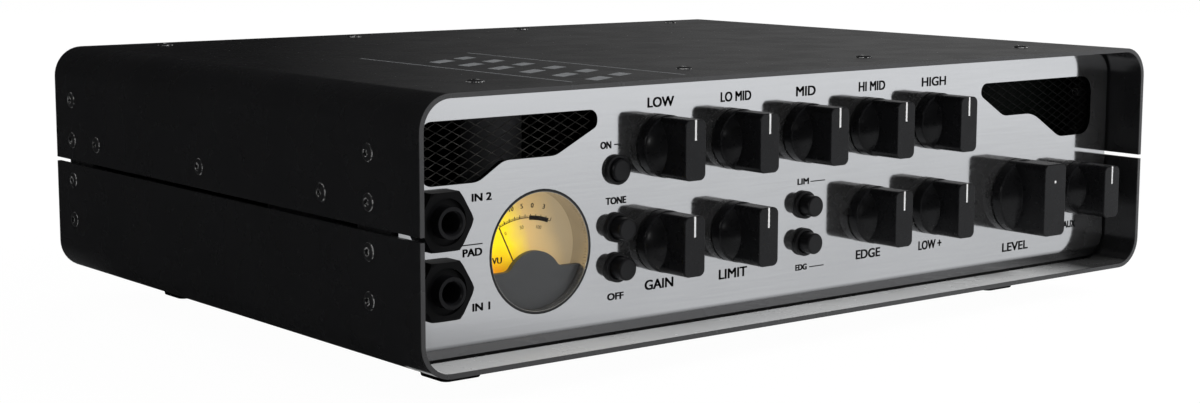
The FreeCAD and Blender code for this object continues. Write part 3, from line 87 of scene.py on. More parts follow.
class Shading:
    """A shader tree, with helpers for the nodes that the world and the finishes share."""

    def __init__(self, tree):
        self.tree = tree

    def link(self, output, socket):
        """Ties an output to a socket."""
        self.tree.links.new(output, socket)

    def feed(self, socket, value):
        """Links an output to a socket, or sets its number or colour."""
        if isinstance(value, bpy.types.NodeSocket):
            self.link(value, socket)
        elif isinstance(value, tuple):
            socket.default_value = (*value, 1)
        else:
            socket.default_value = value

    def part(self, vector, letter):
        """One coordinate of a vector."""
        node = self.tree.nodes.new("ShaderNodeSeparateXYZ")
        self.link(vector, node.inputs["Vector"])
        return node.outputs[letter]

    def along(self, vector, direction):
        """How far a vector reaches along a direction."""
        node = self.tree.nodes.new("ShaderNodeVectorMath")
        node.operation = "DOT_PRODUCT"
        node.inputs[1].default_value = direction
        self.link(vector, node.inputs[0])
        return node.outputs["Value"]

    def spread(self, value, low, high, from_low=0.3, from_high=0.7):
        """Maps a value from one range to another and stops at its ends."""
        node = self.tree.nodes.new("ShaderNodeMapRange")
        node.inputs["From Min"].default_value = from_low
        node.inputs["From Max"].default_value = from_high
        node.inputs["To Min"].default_value = low
        node.inputs["To Max"].default_value = high
        self.link(value, node.inputs["Value"])
        return node.outputs["Result"]

    def maths(self, operation, first, second=0.0):
        """The result of an operation on one or two numbers."""
        node = self.tree.nodes.new("ShaderNodeMath")
        node.operation = operation
        self.feed(node.inputs[0], first)
        self.feed(node.inputs[1], second)
        return node.outputs[0]

    def share(self, factor, first, second):
        """A number between two."""
        node = self.tree.nodes.new("ShaderNodeMix")
        node.data_type = "FLOAT"
        for label, value in (("Factor", factor), ("A", first), ("B", second)):
            self.feed(node.inputs[label], value)
        return node.outputs["Result"]

    def blend(self, factor, first, second):
        """A colour between two."""
        node = self.tree.nodes.new("ShaderNodeMix")
        node.data_type = "RGBA"
        sockets = [s for s in node.inputs if s.type == "RGBA"]
        for socket, value in zip(sockets, (first, second)):
            self.feed(socket, value)
        self.link(factor, node.inputs["Factor"])
        return [s for s in node.outputs if s.type == "RGBA"][0]

    def glow(self, colour, strength):
        """A shader that gives off light."""
        node = self.tree.nodes.new("ShaderNodeEmission")
        self.feed(node.inputs["Color"], colour)
        self.feed(node.inputs["Strength"], strength)
        return node.outputs[0]

    def switch(self, factor, first, second):
        """One shader or another."""
        node = self.tree.nodes.new("ShaderNodeMixShader")
        for socket, value in zip(node.inputs, (factor, first, second)):
            self.link(value, socket)
        return node.outputs[0]


class Finish(Shading):
    """A node material under construction, with helpers for grain, variation and masks."""

    def __init__(self, name, colour, roughness, metallic=0.0, specular=0.5):
        self.material = bpy.data.materials.new(name)
        self.material.use_nodes = True
        super().__init__(self.material.node_tree)
        self.shader = self.tree.nodes["Principled BSDF"]
        self.give("Base Color", colour)
        self.give("Roughness", roughness)
        self.give("Metallic", metallic)
        self.give("Specular IOR Level", specular)
        self.colour = colour
        self.roughness = roughness
        self.coordinates = self.tree.nodes.new("ShaderNodeTexCoord").outputs["Object"]

    def give(self, label, value):
        """Feeds one of the surface's own inputs."""
        self.feed(self.shader.inputs[label], value)

    def noise(self, scale, detail=3.0, stretch=(1, 1, 1)):
        """Noise on the piece's own coordinates; scale is cells per metre."""
        mapping = self.tree.nodes.new("ShaderNodeMapping")
        mapping.inputs["Scale"].default_value = stretch
        self.link(self.coordinates, mapping.inputs["Vector"])
        noise = self.tree.nodes.new("ShaderNodeTexNoise")
        noise.inputs["Scale"].default_value = scale
        noise.inputs["Detail"].default_value = detail
        self.link(mapping.outputs["Vector"], noise.inputs["Vector"])
        return noise.outputs["Fac"]

    def axis(self, letter):
        """One of the piece's own coordinates, in metres."""
        return self.part(self.coordinates, letter)

    def from_middle(self, node):
        """How far a place lies across and up from the middle of a CAD node."""
        low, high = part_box(node)
        middle = (low + high) / 2
        return (self.maths("SUBTRACT", self.axis("X"), middle.x),
                self.maths("SUBTRACT", self.axis("Z"), middle.z))

    def vary_colour(self, scale, amount):
        """Lightens and darkens the colour in soft patches."""
        painted_lip_reflection = tuple(min(c * (1 + amount), 1) for c in self.colour)
        dark = tuple(c * (1 - amount) for c in self.colour)
        mixed = self.blend(self.spread(self.noise(scale, 4), 0, 1), dark, painted_lip_reflection)
        self.give("Base Color", mixed)
        return mixed

    def vary_roughness(self, scale, amount):
        """Roughens and smooths the gloss in soft patches."""
        low = max(self.roughness - amount, 0.02)
        varied = self.spread(self.noise(scale, 5), low, self.roughness + amount)
        self.give("Roughness", varied)

    def relief(self, pattern, height, strength):
        """A fine relief whose height is in metres."""
        bump = self.tree.nodes.new("ShaderNodeBump")
        bump.inputs["Strength"].default_value = strength
        bump.inputs["Distance"].default_value = height
        self.link(pattern, bump.inputs["Height"])
        self.give("Normal", bump.outputs["Normal"])

    def grain(self, scale, height, detail=2.0, strength=1.0):
        """A relief of fine even noise."""
        self.relief(self.noise(scale, detail), height, strength)

    def painted_edge_highlights(self, base, colour, radius, amount=1.0, patches=(0.35, 1.0)):
        """A painted highlight along edges, in patches, where a rounded normal leaves the face."""
        bevel = self.tree.nodes.new("ShaderNodeBevel")
        bevel.samples = 4
        bevel.inputs["Radius"].default_value = radius
        geometry = self.tree.nodes.new("ShaderNodeNewGeometry")
        dot = self.tree.nodes.new("ShaderNodeVectorMath")
        dot.operation = "DOT_PRODUCT"
        self.link(bevel.outputs["Normal"], dot.inputs[0])
        self.link(geometry.outputs["Normal"], dot.inputs[1])
        edge = self.spread(dot.outputs["Value"], amount, 0, 0.80, 0.985)
        # The bright patches are a painted highlight, standing in for the light that edges catch.
        painted_highlight_patches = self.maths("MULTIPLY", edge, self.spread(self.noise(900, 4), *patches))
        self.give("Base Color", self.blend(painted_highlight_patches, base, colour))


# Camera, lights and stage.


CAMERA_PLACE = (-0.50035, -0.62505, 0.15070)
CAMERA_TURN, CAMERA_DIP, CAMERA_ROLL = -38.511, 8.148, 0.120
CAMERA_LENS = 62.864


def set_camera():
    """The camera stands left of the amplifier, a little above it."""
    lens = bpy.data.cameras.new("camera")
    lens.sensor_width = 36
    lens.lens = CAMERA_LENS
    lens.clip_start = 0.05
    camera = add_object("camera", lens)
    turn = (Matrix.Rotation(math.radians(CAMERA_TURN), 4, "Z")
            @ Matrix.Rotation(math.radians(90 - CAMERA_DIP), 4, "X")
            @ Matrix.Rotation(math.radians(CAMERA_ROLL), 4, "Z"))
    camera.matrix_world = Matrix.Translation(CAMERA_PLACE) @ turn
    scene.camera = camera


def add_area(name, place, target, width, height, power, glossy=True):
    """A rectangular lamp that the camera doesn't see."""
    data = bpy.data.lights.new(name, "AREA")
    data.shape = "RECTANGLE"
    data.size = width
    data.size_y = height
    data.energy = power
    lamp = add_object(name, data)
    lamp.location = place
    lamp.rotation_euler = (Vector(target) - Vector(place)).to_track_quat("-Z", "Y").to_euler()
    lamp.visible_camera = False
    lamp.visible_glossy = glossy
    return lamp


# Light that fills the room, and what the gloss sees of its far wall on the right, of the dark
# rest, overhead, and of the wall ahead of the panel. Each glow begins and is full at the two
# cosines of its edge, measured from its middle.
STUDIO_FILL = 0.45
SHEEN_FAR = 0.225
SHEEN_NEAR = 0.004
SHEEN_ABOVE = 0.15
SHEEN_AHEAD = 0.4
WALL_AZIMUTH, WALL_RISE = math.radians(60), math.radians(5)
WALL_EDGE = (0.86, 0.99)
AHEAD = (0.78, -0.61, 0.14)
AHEAD_EDGE = (0.80, 0.97)
ABOVE_EDGE = (0.62, 0.90)


def set_world():
    """White to the camera. The gloss sees a dark room, paler to the right, ahead and overhead."""
    world = bpy.data.worlds.new("studio")
    world.use_nodes = True
    room = Shading(world.node_tree)
    background = room.tree.nodes["Background"]
    room.feed(background.inputs["Color"], (1, 1, 1))
    facing = room.tree.nodes.new("ShaderNodeTexCoord").outputs["Generated"]
    right_wall = (math.sin(WALL_AZIMUTH) * math.cos(WALL_RISE),
                  math.cos(WALL_AZIMUTH) * math.cos(WALL_RISE), math.sin(WALL_RISE))
    sheen = room.spread(room.along(facing, right_wall), SHEEN_NEAR, SHEEN_FAR, *WALL_EDGE)
    ahead = room.spread(room.along(facing, AHEAD), 0, SHEEN_AHEAD, *AHEAD_EDGE)
    overhead = room.spread(room.part(facing, "Z"), 0, SHEEN_ABOVE, *ABOVE_EDGE)
    around = room.maths("ADD", room.maths("ADD", sheen, ahead), overhead)
    rays = room.tree.nodes.new("ShaderNodeLightPath")
    seen = room.maths("MAXIMUM", rays.outputs["Is Camera Ray"],
                      rays.outputs["Is Transmission Ray"])
    gloss = room.share(rays.outputs["Is Glossy Ray"], STUDIO_FILL, around)
    room.link(room.share(seen, gloss, 1.0), background.inputs["Strength"])
    scene.world = world


# The floor, in metres. To the camera it is a share of its own light, and the rest is paint that
# shows the shadow. The gloss sees a glow before the object, a painted pool of light that grows
# outward, fast at first and slowly farther out, and a painted shadow left of a slanting line.
# Behind the object another painted pool of light grows backward, right of the left wall.
FLOOR_SIZE = 6
FLOOR_DROP = 0.0002
FLOOR_PAINT = (0.9, 0.9, 0.9)
FLOOR_LIGHT = 1.02
FLOOR_SHARE = 0.96
FLOOR_TINT = (0.96, 0.98, 1.0)
OUTWARD = (0.50, -0.85, 0)
NEAR_GLOW, NEAR_REACH = (0.012, 0.60), (0.0, 0.15)
FAR_GLOW, FAR_REACH = (0, 0.25), (0.15, 1.07)
FLANK = (1, 0.647, 0)
FLANK_GLOW, FLANK_EDGE = (0.03, 1), (-0.27, -0.22)
REAR_GLOW, REAR_REACH = (0, 0.55), (0.11, 0.30)
LEFT_EDGE = (-0.19, -0.12)


def lay_floor():
    """A pale floor: white to the camera but for a soft shadow. The gloss sees a painted pool of
    light, a little cool, before and behind the object, and a painted shadow at its left."""
    work = bmesh.new()
    bmesh.ops.create_grid(work, x_segments=1, y_segments=1, size=FLOOR_SIZE)
    floor = add_object("floor", mesh_from(work, "floor"))
    floor.location.z = -FLOOR_DROP
    ground = Finish("floor", FLOOR_PAINT, 0.9, 0.0, 0.0)
    # Painted pool of light before the object, and painted shadow at its left, seen by the gloss.
    outward = ground.along(ground.coordinates, OUTWARD)
    near = ground.spread(outward, *NEAR_GLOW, *NEAR_REACH)
    far = ground.spread(outward, *FAR_GLOW, *FAR_REACH)
    flank = ground.spread(ground.along(ground.coordinates, FLANK), *FLANK_GLOW, *FLANK_EDGE)
    ahead = ground.maths("MULTIPLY", ground.maths("ADD", near, far), flank)
    back = ground.spread(ground.axis("Y"), *REAR_GLOW, *REAR_REACH)
    inward = ground.spread(ground.axis("X"), 0, 1, *LEFT_EDGE)
    behind = ground.maths("MULTIPLY", back, inward)
    rays = ground.tree.nodes.new("ShaderNodeLightPath")
    white = ground.glow((1, 1, 1), FLOOR_LIGHT)
    reflected = ground.glow(FLOOR_TINT, ground.maths("ADD", ahead, behind))
    share = ground.maths("MULTIPLY", rays.outputs["Is Camera Ray"], FLOOR_SHARE)
    direct = ground.switch(share, ground.shader.outputs[0], white)
    either = ground.switch(rays.outputs["Is Glossy Ray"], direct, reflected)
    ground.link(either, ground.tree.nodes["Material Output"].inputs["Surface"])
    floor.data.materials.append(ground.material)


def light_scene():
    """Softboxes before and behind on the right, and a small lamp at the left for the glints."""
    add_area("front_softbox", place=(1.1, -1.3, 1.15), target=(0, -0.05, 0.05),
             width=1.1, height=0.9, power=24, glossy=False)
    add_area("back_softbox", place=(1.15, 1.45, 0.9), target=(0, 0.05, 0.05),
             width=1.2, height=0.7, power=9, glossy=False)
    glint = add_area("glint_lamp", place=(-1.25, -0.60, 0.50), target=(0, -0.1, 0.05),
                     width=0.2, height=0.2, power=2)
    glint.visible_diffuse = False
    set_world()


# Finishes.


def plain_finish(name, colour, roughness, metallic=0.0, specular=0.5, grain=(2500, 0.00001)):
    """One colour with soft patches and a fine grain."""
    finish = Finish(name, colour, roughness, metallic, specular)
    finish.vary_colour(60, 0.08)
    finish.vary_roughness(120, 0.06)
    finish.grain(*grain)
    return finish.material


def paint_with_rims(name):
    """Black paint, even and a little glossy; paler cut edges: thinner paint and a painted highlight.
    """
    finish = Finish(name, (0.0135, 0.0135, 0.0145), 0.27, 0.0, 0.45)
    base = finish.vary_colour(30, 0.08)
    depth = finish.axis("Y")
    # Paler rims: thinner paint on the cut edges, and a painted highlight where they catch the light.
    front_rim = finish.spread(depth, 1, 0, FRONT_EDGE + 0.1 * MM, FRONT_EDGE + 0.5 * MM)
    rear_rim = finish.spread(depth, 0, 1, REAR_EDGE - 0.5 * MM, REAR_EDGE - 0.1 * MM)
    rim = finish.maths("MAXIMUM", front_rim, rear_rim)
    paler = finish.blend(rim, base, (0.055, 0.055, 0.057))
    finish.give("Base Color", paler)
    finish.vary_roughness(60, 0.03)
    finish.grain(2600, 0.000012, detail=3, strength=0.35)
    return finish, paler


def powder_coat():
    """The paint of the top cover, the rails, the bracket and the rear."""
    return paint_with_rims("powder_coat")[0].material


def lower_cover_coat():
    """The bottom cover's paint, with a painted reflection on the lip before the panel but its right
    end.
    """
    finish, paint = paint_with_rims("lower_cover_coat")
    depth = finish.axis("Y")
    height = finish.axis("Z")
    floor_level = COVER_BASE + SHEET
    above = finish.spread(height, 0, 1, floor_level - 0.5 * MM, floor_level - 0.3 * MM)
    below = finish.spread(height, 1, 0, floor_level + 0.5 * MM, floor_level + 1.2 * MM)
    ahead = finish.spread(depth, 1, 0, PANEL_FACE - 0.3 * MM, PANEL_FACE)
    behind_rim = finish.spread(depth, 0, 1, FRONT_EDGE + 0.4 * MM, FRONT_EDGE + 0.8 * MM)
    lip = finish.maths("MULTIPLY", finish.maths("MULTIPLY", above, below),
                       finish.maths("MULTIPLY", ahead, behind_rim))
    cloud = finish.spread(finish.noise(14, 2), 0, 1)
    # The lip's pale colour is a painted reflection of the lit panel, seen at a grazing angle.
    painted_lip_reflection = finish.blend(cloud, (0.86, 0.87, 0.88), (0.92, 0.93, 0.93))
    # Painted shade: the right end is dark, where the lip would mirror the shaded side wall.
    painted_right_shade = finish.spread(finish.axis("X"), 0, 1, 112 * MM, 142 * MM)
    pale = finish.blend(painted_right_shade, painted_lip_reflection, (0.06, 0.06, 0.06))
    finish.give("Base Color", finish.blend(lip, paint, pale))
    return finish.material


def polished_panel():
    """A bright plate, smooth enough to mirror the knobs, with very fine lines from side to side.
    Its cut edges are dark, and the strip along its foot is painted dark as shade."""
    finish = Finish("polished_panel", (0.74, 0.74, 0.75), 0.08, 0.97, 0.5)
    brushed = finish.noise(1100, 4, (0.05, 1, 1.5))
    patches = finish.noise(14, 3)
    lines = finish.blend(finish.spread(brushed, 0, 1), (0.72, 0.72, 0.73), (0.76, 0.76, 0.77))
    clouded = finish.blend(finish.spread(patches, 0, 0.3), lines, (0.68, 0.68, 0.69))
    # Painted shade: the strip along the plate's foot is darkened.
    foot = finish.spread(finish.axis("Z"), 1, 0, COVER_BASE + 5.3 * MM, COVER_BASE + 6.7 * MM)
    geometry = finish.tree.nodes.new("ShaderNodeNewGeometry")
    level = finish.maths("ABSOLUTE", finish.part(geometry.outputs["True Normal"], "Y"))
    cut = finish.spread(level, 1, 0, 0.93, 0.99)
    shaded = finish.blend(foot, clouded, (0.20, 0.20, 0.205))
    finish.give("Base Color", finish.blend(cut, shaded, (0.05, 0.05, 0.05)))
    finish.give("Roughness", finish.spread(brushed, 0.05, 0.10))
    finish.relief(brushed, 0.000004, 0.05)
    return finish.material


def knob_plastic():
    """Moulded black plastic with a painted highlight, a little paler, along its edges."""
    finish = Finish("knob_plastic", (0.008, 0.008, 0.009), 0.28, 0.0, 0.27)
    base = finish.vary_colour(180, 0.15)
    # Painted highlight: the edges are a little paler, where they would catch the light.
    finish.painted_edge_highlights(base, (0.045, 0.045, 0.047), 0.4 * MM, 0.8)
    finish.vary_roughness(400, 0.02)
    finish.grain(4200, 0.00001, detail=3, strength=0.02)
    return finish.material


def black_screw():
    """Black heads with painted glints: their edges are bright in places."""
    finish = Finish("black_screw", (0.016, 0.016, 0.017), 0.30, 0.0, 0.45)
    base = finish.vary_colour(200, 0.1)
    # Painted glints: white patches along the heads' edges stand in for the light that they catch.
    finish.painted_edge_highlights(base, (1.0, 1.0, 1.0), 0.40 * MM, 1.0, (-4.0, 5.2))
    finish.vary_roughness(200, 0.05)
    return finish.material


def dial_print():
    """Warm dial plate: painted light makes it yellow at the lower left and tan in painted shade
    towards the right; it is orange at its foot. It glows as painted lamp light."""
    finish = Finish("dial_print", (0.86, 0.56, 0.14), 0.55, 0.0, 0.1)
    across, up = finish.from_middle("meter_dial")
    clouds = finish.spread(finish.noise(90, 3), -1.2 * MM, 1.2 * MM)
    slope = finish.maths("ADD", finish.maths("ADD", across, clouds),
                         finish.maths("MULTIPLY", up, 0.30))
    # Painted light: the dial is lit at the lower left and lies in painted shade towards the right.
    painted_light_slope = finish.spread(slope, 0, 1, -15 * MM, 15 * MM)
    ramp = finish.tree.nodes.new("ShaderNodeValToRGB")
    stops = [(0.0, (1.0, 0.80, 0.004)), (0.30, (0.97, 0.74, 0.02)), (0.58, (0.66, 0.45, 0.18)),
             (1.0, (0.46, 0.36, 0.22))]
    ramp.color_ramp.elements[0].position = stops[0][0]
    ramp.color_ramp.elements[0].color = (*stops[0][1], 1)
    ramp.color_ramp.elements[1].position = stops[-1][0]
    ramp.color_ramp.elements[1].color = (*stops[-1][1], 1)
    for position, colour in stops[1:-1]:
        element = ramp.color_ramp.elements.new(position)
        element.color = (*colour, 1)
    finish.link(painted_light_slope, ramp.inputs["Fac"])
    foot = finish.spread(up, 1, 0, -6 * MM, 2 * MM)
    left = finish.spread(painted_light_slope, 0.95, 0, 0.08, 0.55)
    colour = finish.blend(finish.maths("MULTIPLY", foot, left), ramp.outputs["Color"],
                          (0.75, 0.28, 0.01))
    finish.give("Base Color", colour)
    finish.give("Emission Color", colour)
    # A painted glow stands in for the meter's lamp, stronger at the lit lower left.
    finish.give("Emission Strength", finish.spread(painted_light_slope, 0.90, 0.62, 0.0, 1.0))
    finish.grain(3000, 0.00001)
    return finish.material


def meter_shell():
    """Black moulding whose smooth inner wall mirrors the lit dial."""
    finish = Finish("meter_shell", (0.7, 0.68, 0.64), 0.15, 0.9, 0.5)
    low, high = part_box("meter_lens")
    across, up = finish.from_middle("meter_lens")
    reach = finish.maths("SQRT", finish.maths("ADD", finish.maths("MULTIPLY", across, across),
                                              finish.maths("MULTIPLY", up, up)))
    bore = (high.x - low.x) / 2
    outer = finish.spread(reach, 0, 1, bore + 0.05 * MM, bore + 0.15 * MM)
    patches = finish.blend(finish.spread(finish.noise(120, 3), 0, 1), (0.66, 0.64, 0.60),
                           (0.76, 0.74, 0.70))
    finish.give("Base Color", finish.blend(outer, patches, (0.012, 0.012, 0.012)))
    finish.give("Metallic", finish.maths("MULTIPLY", finish.maths("SUBTRACT", 1.0, outer), 0.9))
    finish.vary_roughness(200, 0.05)
    return finish.material


def vent_strand():
    """Grey steel strands, darkened on the right as painted shade."""
    finish = Finish("vent_strand", (0.06, 0.058, 0.054), 0.35, 0.4)
    patches = finish.blend(finish.spread(finish.noise(300, 3), 0, 1), (0.035, 0.034, 0.031),
                           (0.085, 0.082, 0.075))
    # Painted shade: the strands on the right stand in the knobs' shade and are painted almost black.
    right = finish.spread(finish.axis("X"), 0, 1, -10 * MM, 10 * MM)
    finish.give("Base Color", finish.blend(right, patches, (0.006, 0.006, 0.006)))
    finish.vary_roughness(200, 0.06)
    return finish.material


def clear_lens():
    """Clear plastic that shows by little more than its gloss."""
    finish = Finish("clear_lens", (0.02, 0.02, 0.02), 0.04, 0.0, 0.5)
    finish.give("Alpha", 0.10)
    finish.vary_roughness(150, 0.03)
    return finish.material


# Plain finishes: colour and roughness, then how metallic they are, their gloss, and the scale and
# height of their grain, where these differ from the usual.
PLAIN_FINISHES = {
    "button_plastic": ((0.009, 0.009, 0.010), 0.34, 0, 0.28, (4000, 0.00001)),
    "collar_plastic": ((0.011, 0.011, 0.012), 0.45, 0, 0.35),
    "jack_plastic": ((0.007, 0.007, 0.008), 0.35, 0, 0.25),
    "nut_plastic": ((0.005, 0.005, 0.0055), 0.45, 0, 0.12),
    "foot_rubber": ((0.006, 0.006, 0.006), 0.75, 0, 0.1, (1800, 0.00004)),
    "zinc_screw": ((0.55, 0.55, 0.56), 0.35, 0.9),
    "pointer_paint": ((0.85, 0.85, 0.85), 0.5),
    "panel_ink": ((0.010, 0.010, 0.011), 0.6, 0, 0.2),
    "case_ink": ((0.26, 0.27, 0.28), 0.4),
    "dial_ink": ((0.02, 0.012, 0.006), 0.6),
    "meter_cover_grey": ((0.105, 0.108, 0.112), 0.5),
    "needle_lacquer": ((0.02, 0.013, 0.01), 0.4),
    "bare_metal": ((0.35, 0.34, 0.33), 0.4, 0.9),
    "nickel": ((0.72, 0.71, 0.70), 0.22, 1.0),
    "lamp_glass": ((0.95, 0.65, 0.2), 0.2),
    "solder_mask": ((0.002, 0.005, 0.003), 0.55, 0, 0.15),
    "extrusion": ((0.5, 0.5, 0.51), 0.4, 0.9),
    "ferrite": ((0.06, 0.06, 0.065), 0.6),
    "can_sleeve": ((0.14, 0.14, 0.15), 0.45, 0, 0.3),
    "fan_plastic": ((0.02, 0.02, 0.02), 0.5),
    "socket_plastic": ((0.018, 0.018, 0.019), 0.45),
    "socket_metal": ((0.3, 0.3, 0.31), 0.35, 0.9),
    "rocker_plastic": ((0.02, 0.02, 0.021), 0.25),
}


def build_finishes():
    """Every finish by its name."""
    special = (powder_coat, lower_cover_coat, polished_panel, knob_plastic, dial_print,
               clear_lens, meter_shell, black_screw, vent_strand)
    finishes = {maker.__name__: maker() for maker in special}
    for name, values in PLAIN_FINISHES.items():
        finishes[name] = plain_finish(name, *values)
    return finishes


# Pieces.


def add_piece(name, mesh, body, material, replaced=()):
    """Links a finished mesh that is already in its place, and ties it to its body."""
    piece = add_object(name, mesh)
    mesh.materials.clear()
    mesh.materials.append(material)
    if replaced:
        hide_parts(*replaced)
    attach(piece, body)


def stand_in(node, mesh, material):
    """A finished mesh that takes the place of a CAD node, on the node's body."""
    add_piece(node + "_finished", mesh, body_of_node(node), material, (node,))


def body_of_node(name):
    """The body that a node belongs to in the record."""
    for body, members in frame["record"]["behaviour"]["bodies"].items():
        if name in members:
            return body
    raise ValueError(name)


# Vertices closer than this are one; edges flatter than this vanish; edges sharper than this are
# eased.
SAME_PLACE = 0.002 * MM
FLAT_ANGLE = math.radians(0.5)
SHARP_ANGLE = math.radians(32)


def eased(node, material, edge, segments):
    """The node's own shape with smooth curves and its sharp edges eased by millimetres."""
    work = bmesh.new()
    work.from_mesh(nodes[node].data)
    bmesh.ops.remove_doubles(work, verts=work.verts, dist=SAME_PLACE)
    bmesh.ops.dissolve_limit(work, angle_limit=FLAT_ANGLE, verts=work.verts, edges=work.edges)
    mesh = mesh_from(work, node + "_eased")
    for face in mesh.polygons:
        face.use_smooth = True
    maker = add_object(node + "_maker", mesh)
    if edge:
        bevel = maker.modifiers.new("eased_edges", "BEVEL")
        bevel.width = edge * MM
        bevel.segments = segments
        bevel.limit_method = "ANGLE"
        bevel.angle_limit = SHARP_ANGLE
        bevel.use_clamp_overlap = True
    flat = maker.modifiers.new("flat_faces", "WEIGHTED_NORMAL")
    flat.mode = "FACE_AREA"
    flat.weight = 100
    stand_in(node, frozen(maker), material)


def frozen(maker):
    """The evaluated mesh of an object, which is then removed."""
    bpy.context.view_layer.update()
    graph = bpy.context.evaluated_depsgraph_get()
    mesh = bpy.data.meshes.new_from_object(maker.evaluated_get(graph))
    bpy.data.objects.remove(maker)
    return mesh


def paint_node(node, material):
    """Gives a CAD node its finish and leaves its shape as it is."""
    mesh = nodes[node].data
    mesh.materials.clear()
    mesh.materials.append(material)


# Geometry Nodes.


class Tree:
    """A geometry tree with named inputs, built one node at a time."""

    def __init__(self, name, inputs):
        self.group = bpy.data.node_groups.new(name, "GeometryNodeTree")
        interface = self.group.interface
        interface.new_socket("Geometry", in_out="INPUT", socket_type="NodeSocketGeometry")
        self.values = {}
        for label, kind, value in inputs:
            socket = interface.new_socket(label, in_out="INPUT", socket_type="NodeSocket" + kind)
            if value is not None:
                socket.default_value = value
        interface.new_socket("Geometry", in_out="OUTPUT", socket_type="NodeSocketGeometry")
        self.start = self.group.nodes.new("NodeGroupInput")
        self.end = self.group.nodes.new("NodeGroupOutput")

    def given(self, label):
        """The value of a named input."""
        return self.start.outputs[label]

    def add(self, kind, settings=None, **inputs):
        """A node with its settings and inputs. A label's underscores stand for spaces."""
        node = self.group.nodes.new(kind)
        for name, value in (settings or {}).items():
            setattr(node, name, value)
        for label, value in inputs.items():
            self.feed(node, label.replace("_", " "), value)
        return node

    def feed(self, node, label, value):
        """Links an output to an input, known by its name or number, or sets its value."""
        if isinstance(label, int):
            socket = node.inputs[label]
        else:
            socket = next(s for s in node.inputs if s.name == label and s.enabled)
        if isinstance(value, bpy.types.NodeSocket):
            self.group.links.new(value, socket)
        else:
            socket.default_value = value

    def maths(self, operation, first, second=0.0):
        """The result of an operation on two numbers."""
        node = self.add("ShaderNodeMath", {"operation": operation})
        self.feed(node, 0, first)
        self.feed(node, 1, second)
        return node.outputs[0]

    def vector(self, x=0.0, y=0.0, z=0.0):
        """A vector from three numbers."""
        return self.add("ShaderNodeCombineXYZ", X=x, Y=y, Z=z).outputs[0]

    def finish(self, geometry, material):
        """Makes the instances real and ends the tree with their material."""
        realised = self.add("GeometryNodeRealizeInstances", Geometry=geometry)
        coated = self.add("GeometryNodeSetMaterial", Geometry=realised.outputs[0])
        self.feed(coated, "Material", material)
        self.group.links.new(coated.outputs[0], self.end.inputs[0])

    def grow(self, name, mesh, values):
        """Runs the tree on a mesh and returns the plain mesh that it makes."""
        maker = add_object(name + "_maker", mesh)
        modifier = maker.modifiers.new("tree", "NODES")
        modifier.node_group = self.group
        for item in self.group.interface.items_tree:
            if item.item_type == "SOCKET" and item.in_out == "INPUT" and item.name in values:
                modifier[item.identifier] = values[item.name]
        return frozen(maker)


def screw_tree(material):
    """Button-head screws on points, each turned to the point's facing, with a hexagon socket."""
    tree = Tree("button_screws", [
        ("Head Radius", "Float", 2.9 * MM), ("Dome", "Float", 0.8 * MM),
        ("Shank Radius", "Float", 1.5 * MM), ("Shank Length", "Float", 6 * MM),
        ("Socket Radius", "Float", 1.3 * MM), ("Socket Depth", "Float", 2.4 * MM)])
    dome = tree.add("GeometryNodeMeshUVSphere", Segments=28, Rings=14, Radius=1.0)
    squashed = tree.add("GeometryNodeTransform", Geometry=dome.outputs["Mesh"],
                        Scale=tree.vector(tree.given("Head Radius"), tree.given("Head Radius"),
                                          tree.given("Dome")))
    wide = tree.maths("MULTIPLY", tree.given("Head Radius"), 3.0)
    under = tree.add("GeometryNodeMeshCube", Size=tree.vector(wide, wide, wide))
    lowered = tree.add("GeometryNodeTransform", Geometry=under.outputs["Mesh"],
                       Translation=tree.vector(0.0, 0.0, tree.maths("MULTIPLY", wide, -0.5)))
    head = tree.add("GeometryNodeMeshBoolean", {"operation": "DIFFERENCE", "solver": "EXACT"})
    tree.feed(head, 0, squashed.outputs[0])
    tree.group.links.new(lowered.outputs[0], head.inputs[1])
    shank = tree.add("GeometryNodeMeshCylinder", Vertices=20, Radius=tree.given("Shank Radius"),
                     Depth=tree.given("Shank Length"))
    # The shank's upper end reaches a little into the head.
    sunk = tree.add("GeometryNodeTransform", Geometry=shank.outputs["Mesh"],
                    Translation=tree.vector(0.0, 0.0, tree.maths(
                        "MULTIPLY", tree.given("Shank Length"), -0.48)))
    joined = tree.add("GeometryNodeMeshBoolean", {"operation": "UNION", "solver": "EXACT"})
    tree.group.links.new(head.outputs[0], joined.inputs[1])
    tree.group.links.new(sunk.outputs[0], joined.inputs[1])
    socket = tree.add("GeometryNodeMeshCylinder", Vertices=6, Radius=tree.given("Socket Radius"),
                      Depth=tree.given("Socket Depth"))
    raised = tree.add("GeometryNodeTransform", Geometry=socket.outputs["Mesh"],
                      Translation=tree.vector(0.0, 0.0, tree.given("Dome")))
    sunken = tree.add("GeometryNodeMeshBoolean", {"operation": "DIFFERENCE", "solver": "EXACT"})
    tree.feed(sunken, 0, joined.outputs[0])
    tree.group.links.new(raised.outputs[0], sunken.inputs[1])
    facing = tree.add("GeometryNodeInputNamedAttribute", {"data_type": "FLOAT_VECTOR"},
                      Name="facing")
    turn = tree.add("FunctionNodeAlignRotationToVector", {"axis": "Z"},
                    Vector=facing.outputs["Attribute"])
    placed = tree.add("GeometryNodeInstanceOnPoints", Points=tree.given("Geometry"),
                      Instance=sunken.outputs[0], Rotation=turn.outputs[0])
    tree.finish(placed.outputs[0], material)
    return tree


def screw_points(places):
    """Loose points with the way that each screw's head faces."""
    mesh = bpy.data.meshes.new("screw_points")
    mesh.from_pydata([place for place, facing in places], [], [])
    attribute = mesh.attributes.new("facing", "FLOAT_VECTOR", "POINT")
    for index, (place, facing) in enumerate(places):
        attribute.data[index].vector = facing
    return mesh


DIAMOND_WIDE = 5.9 * MM
DIAMOND_HIGH = 3.0 * MM
VENT_RIM = 0.3 * MM


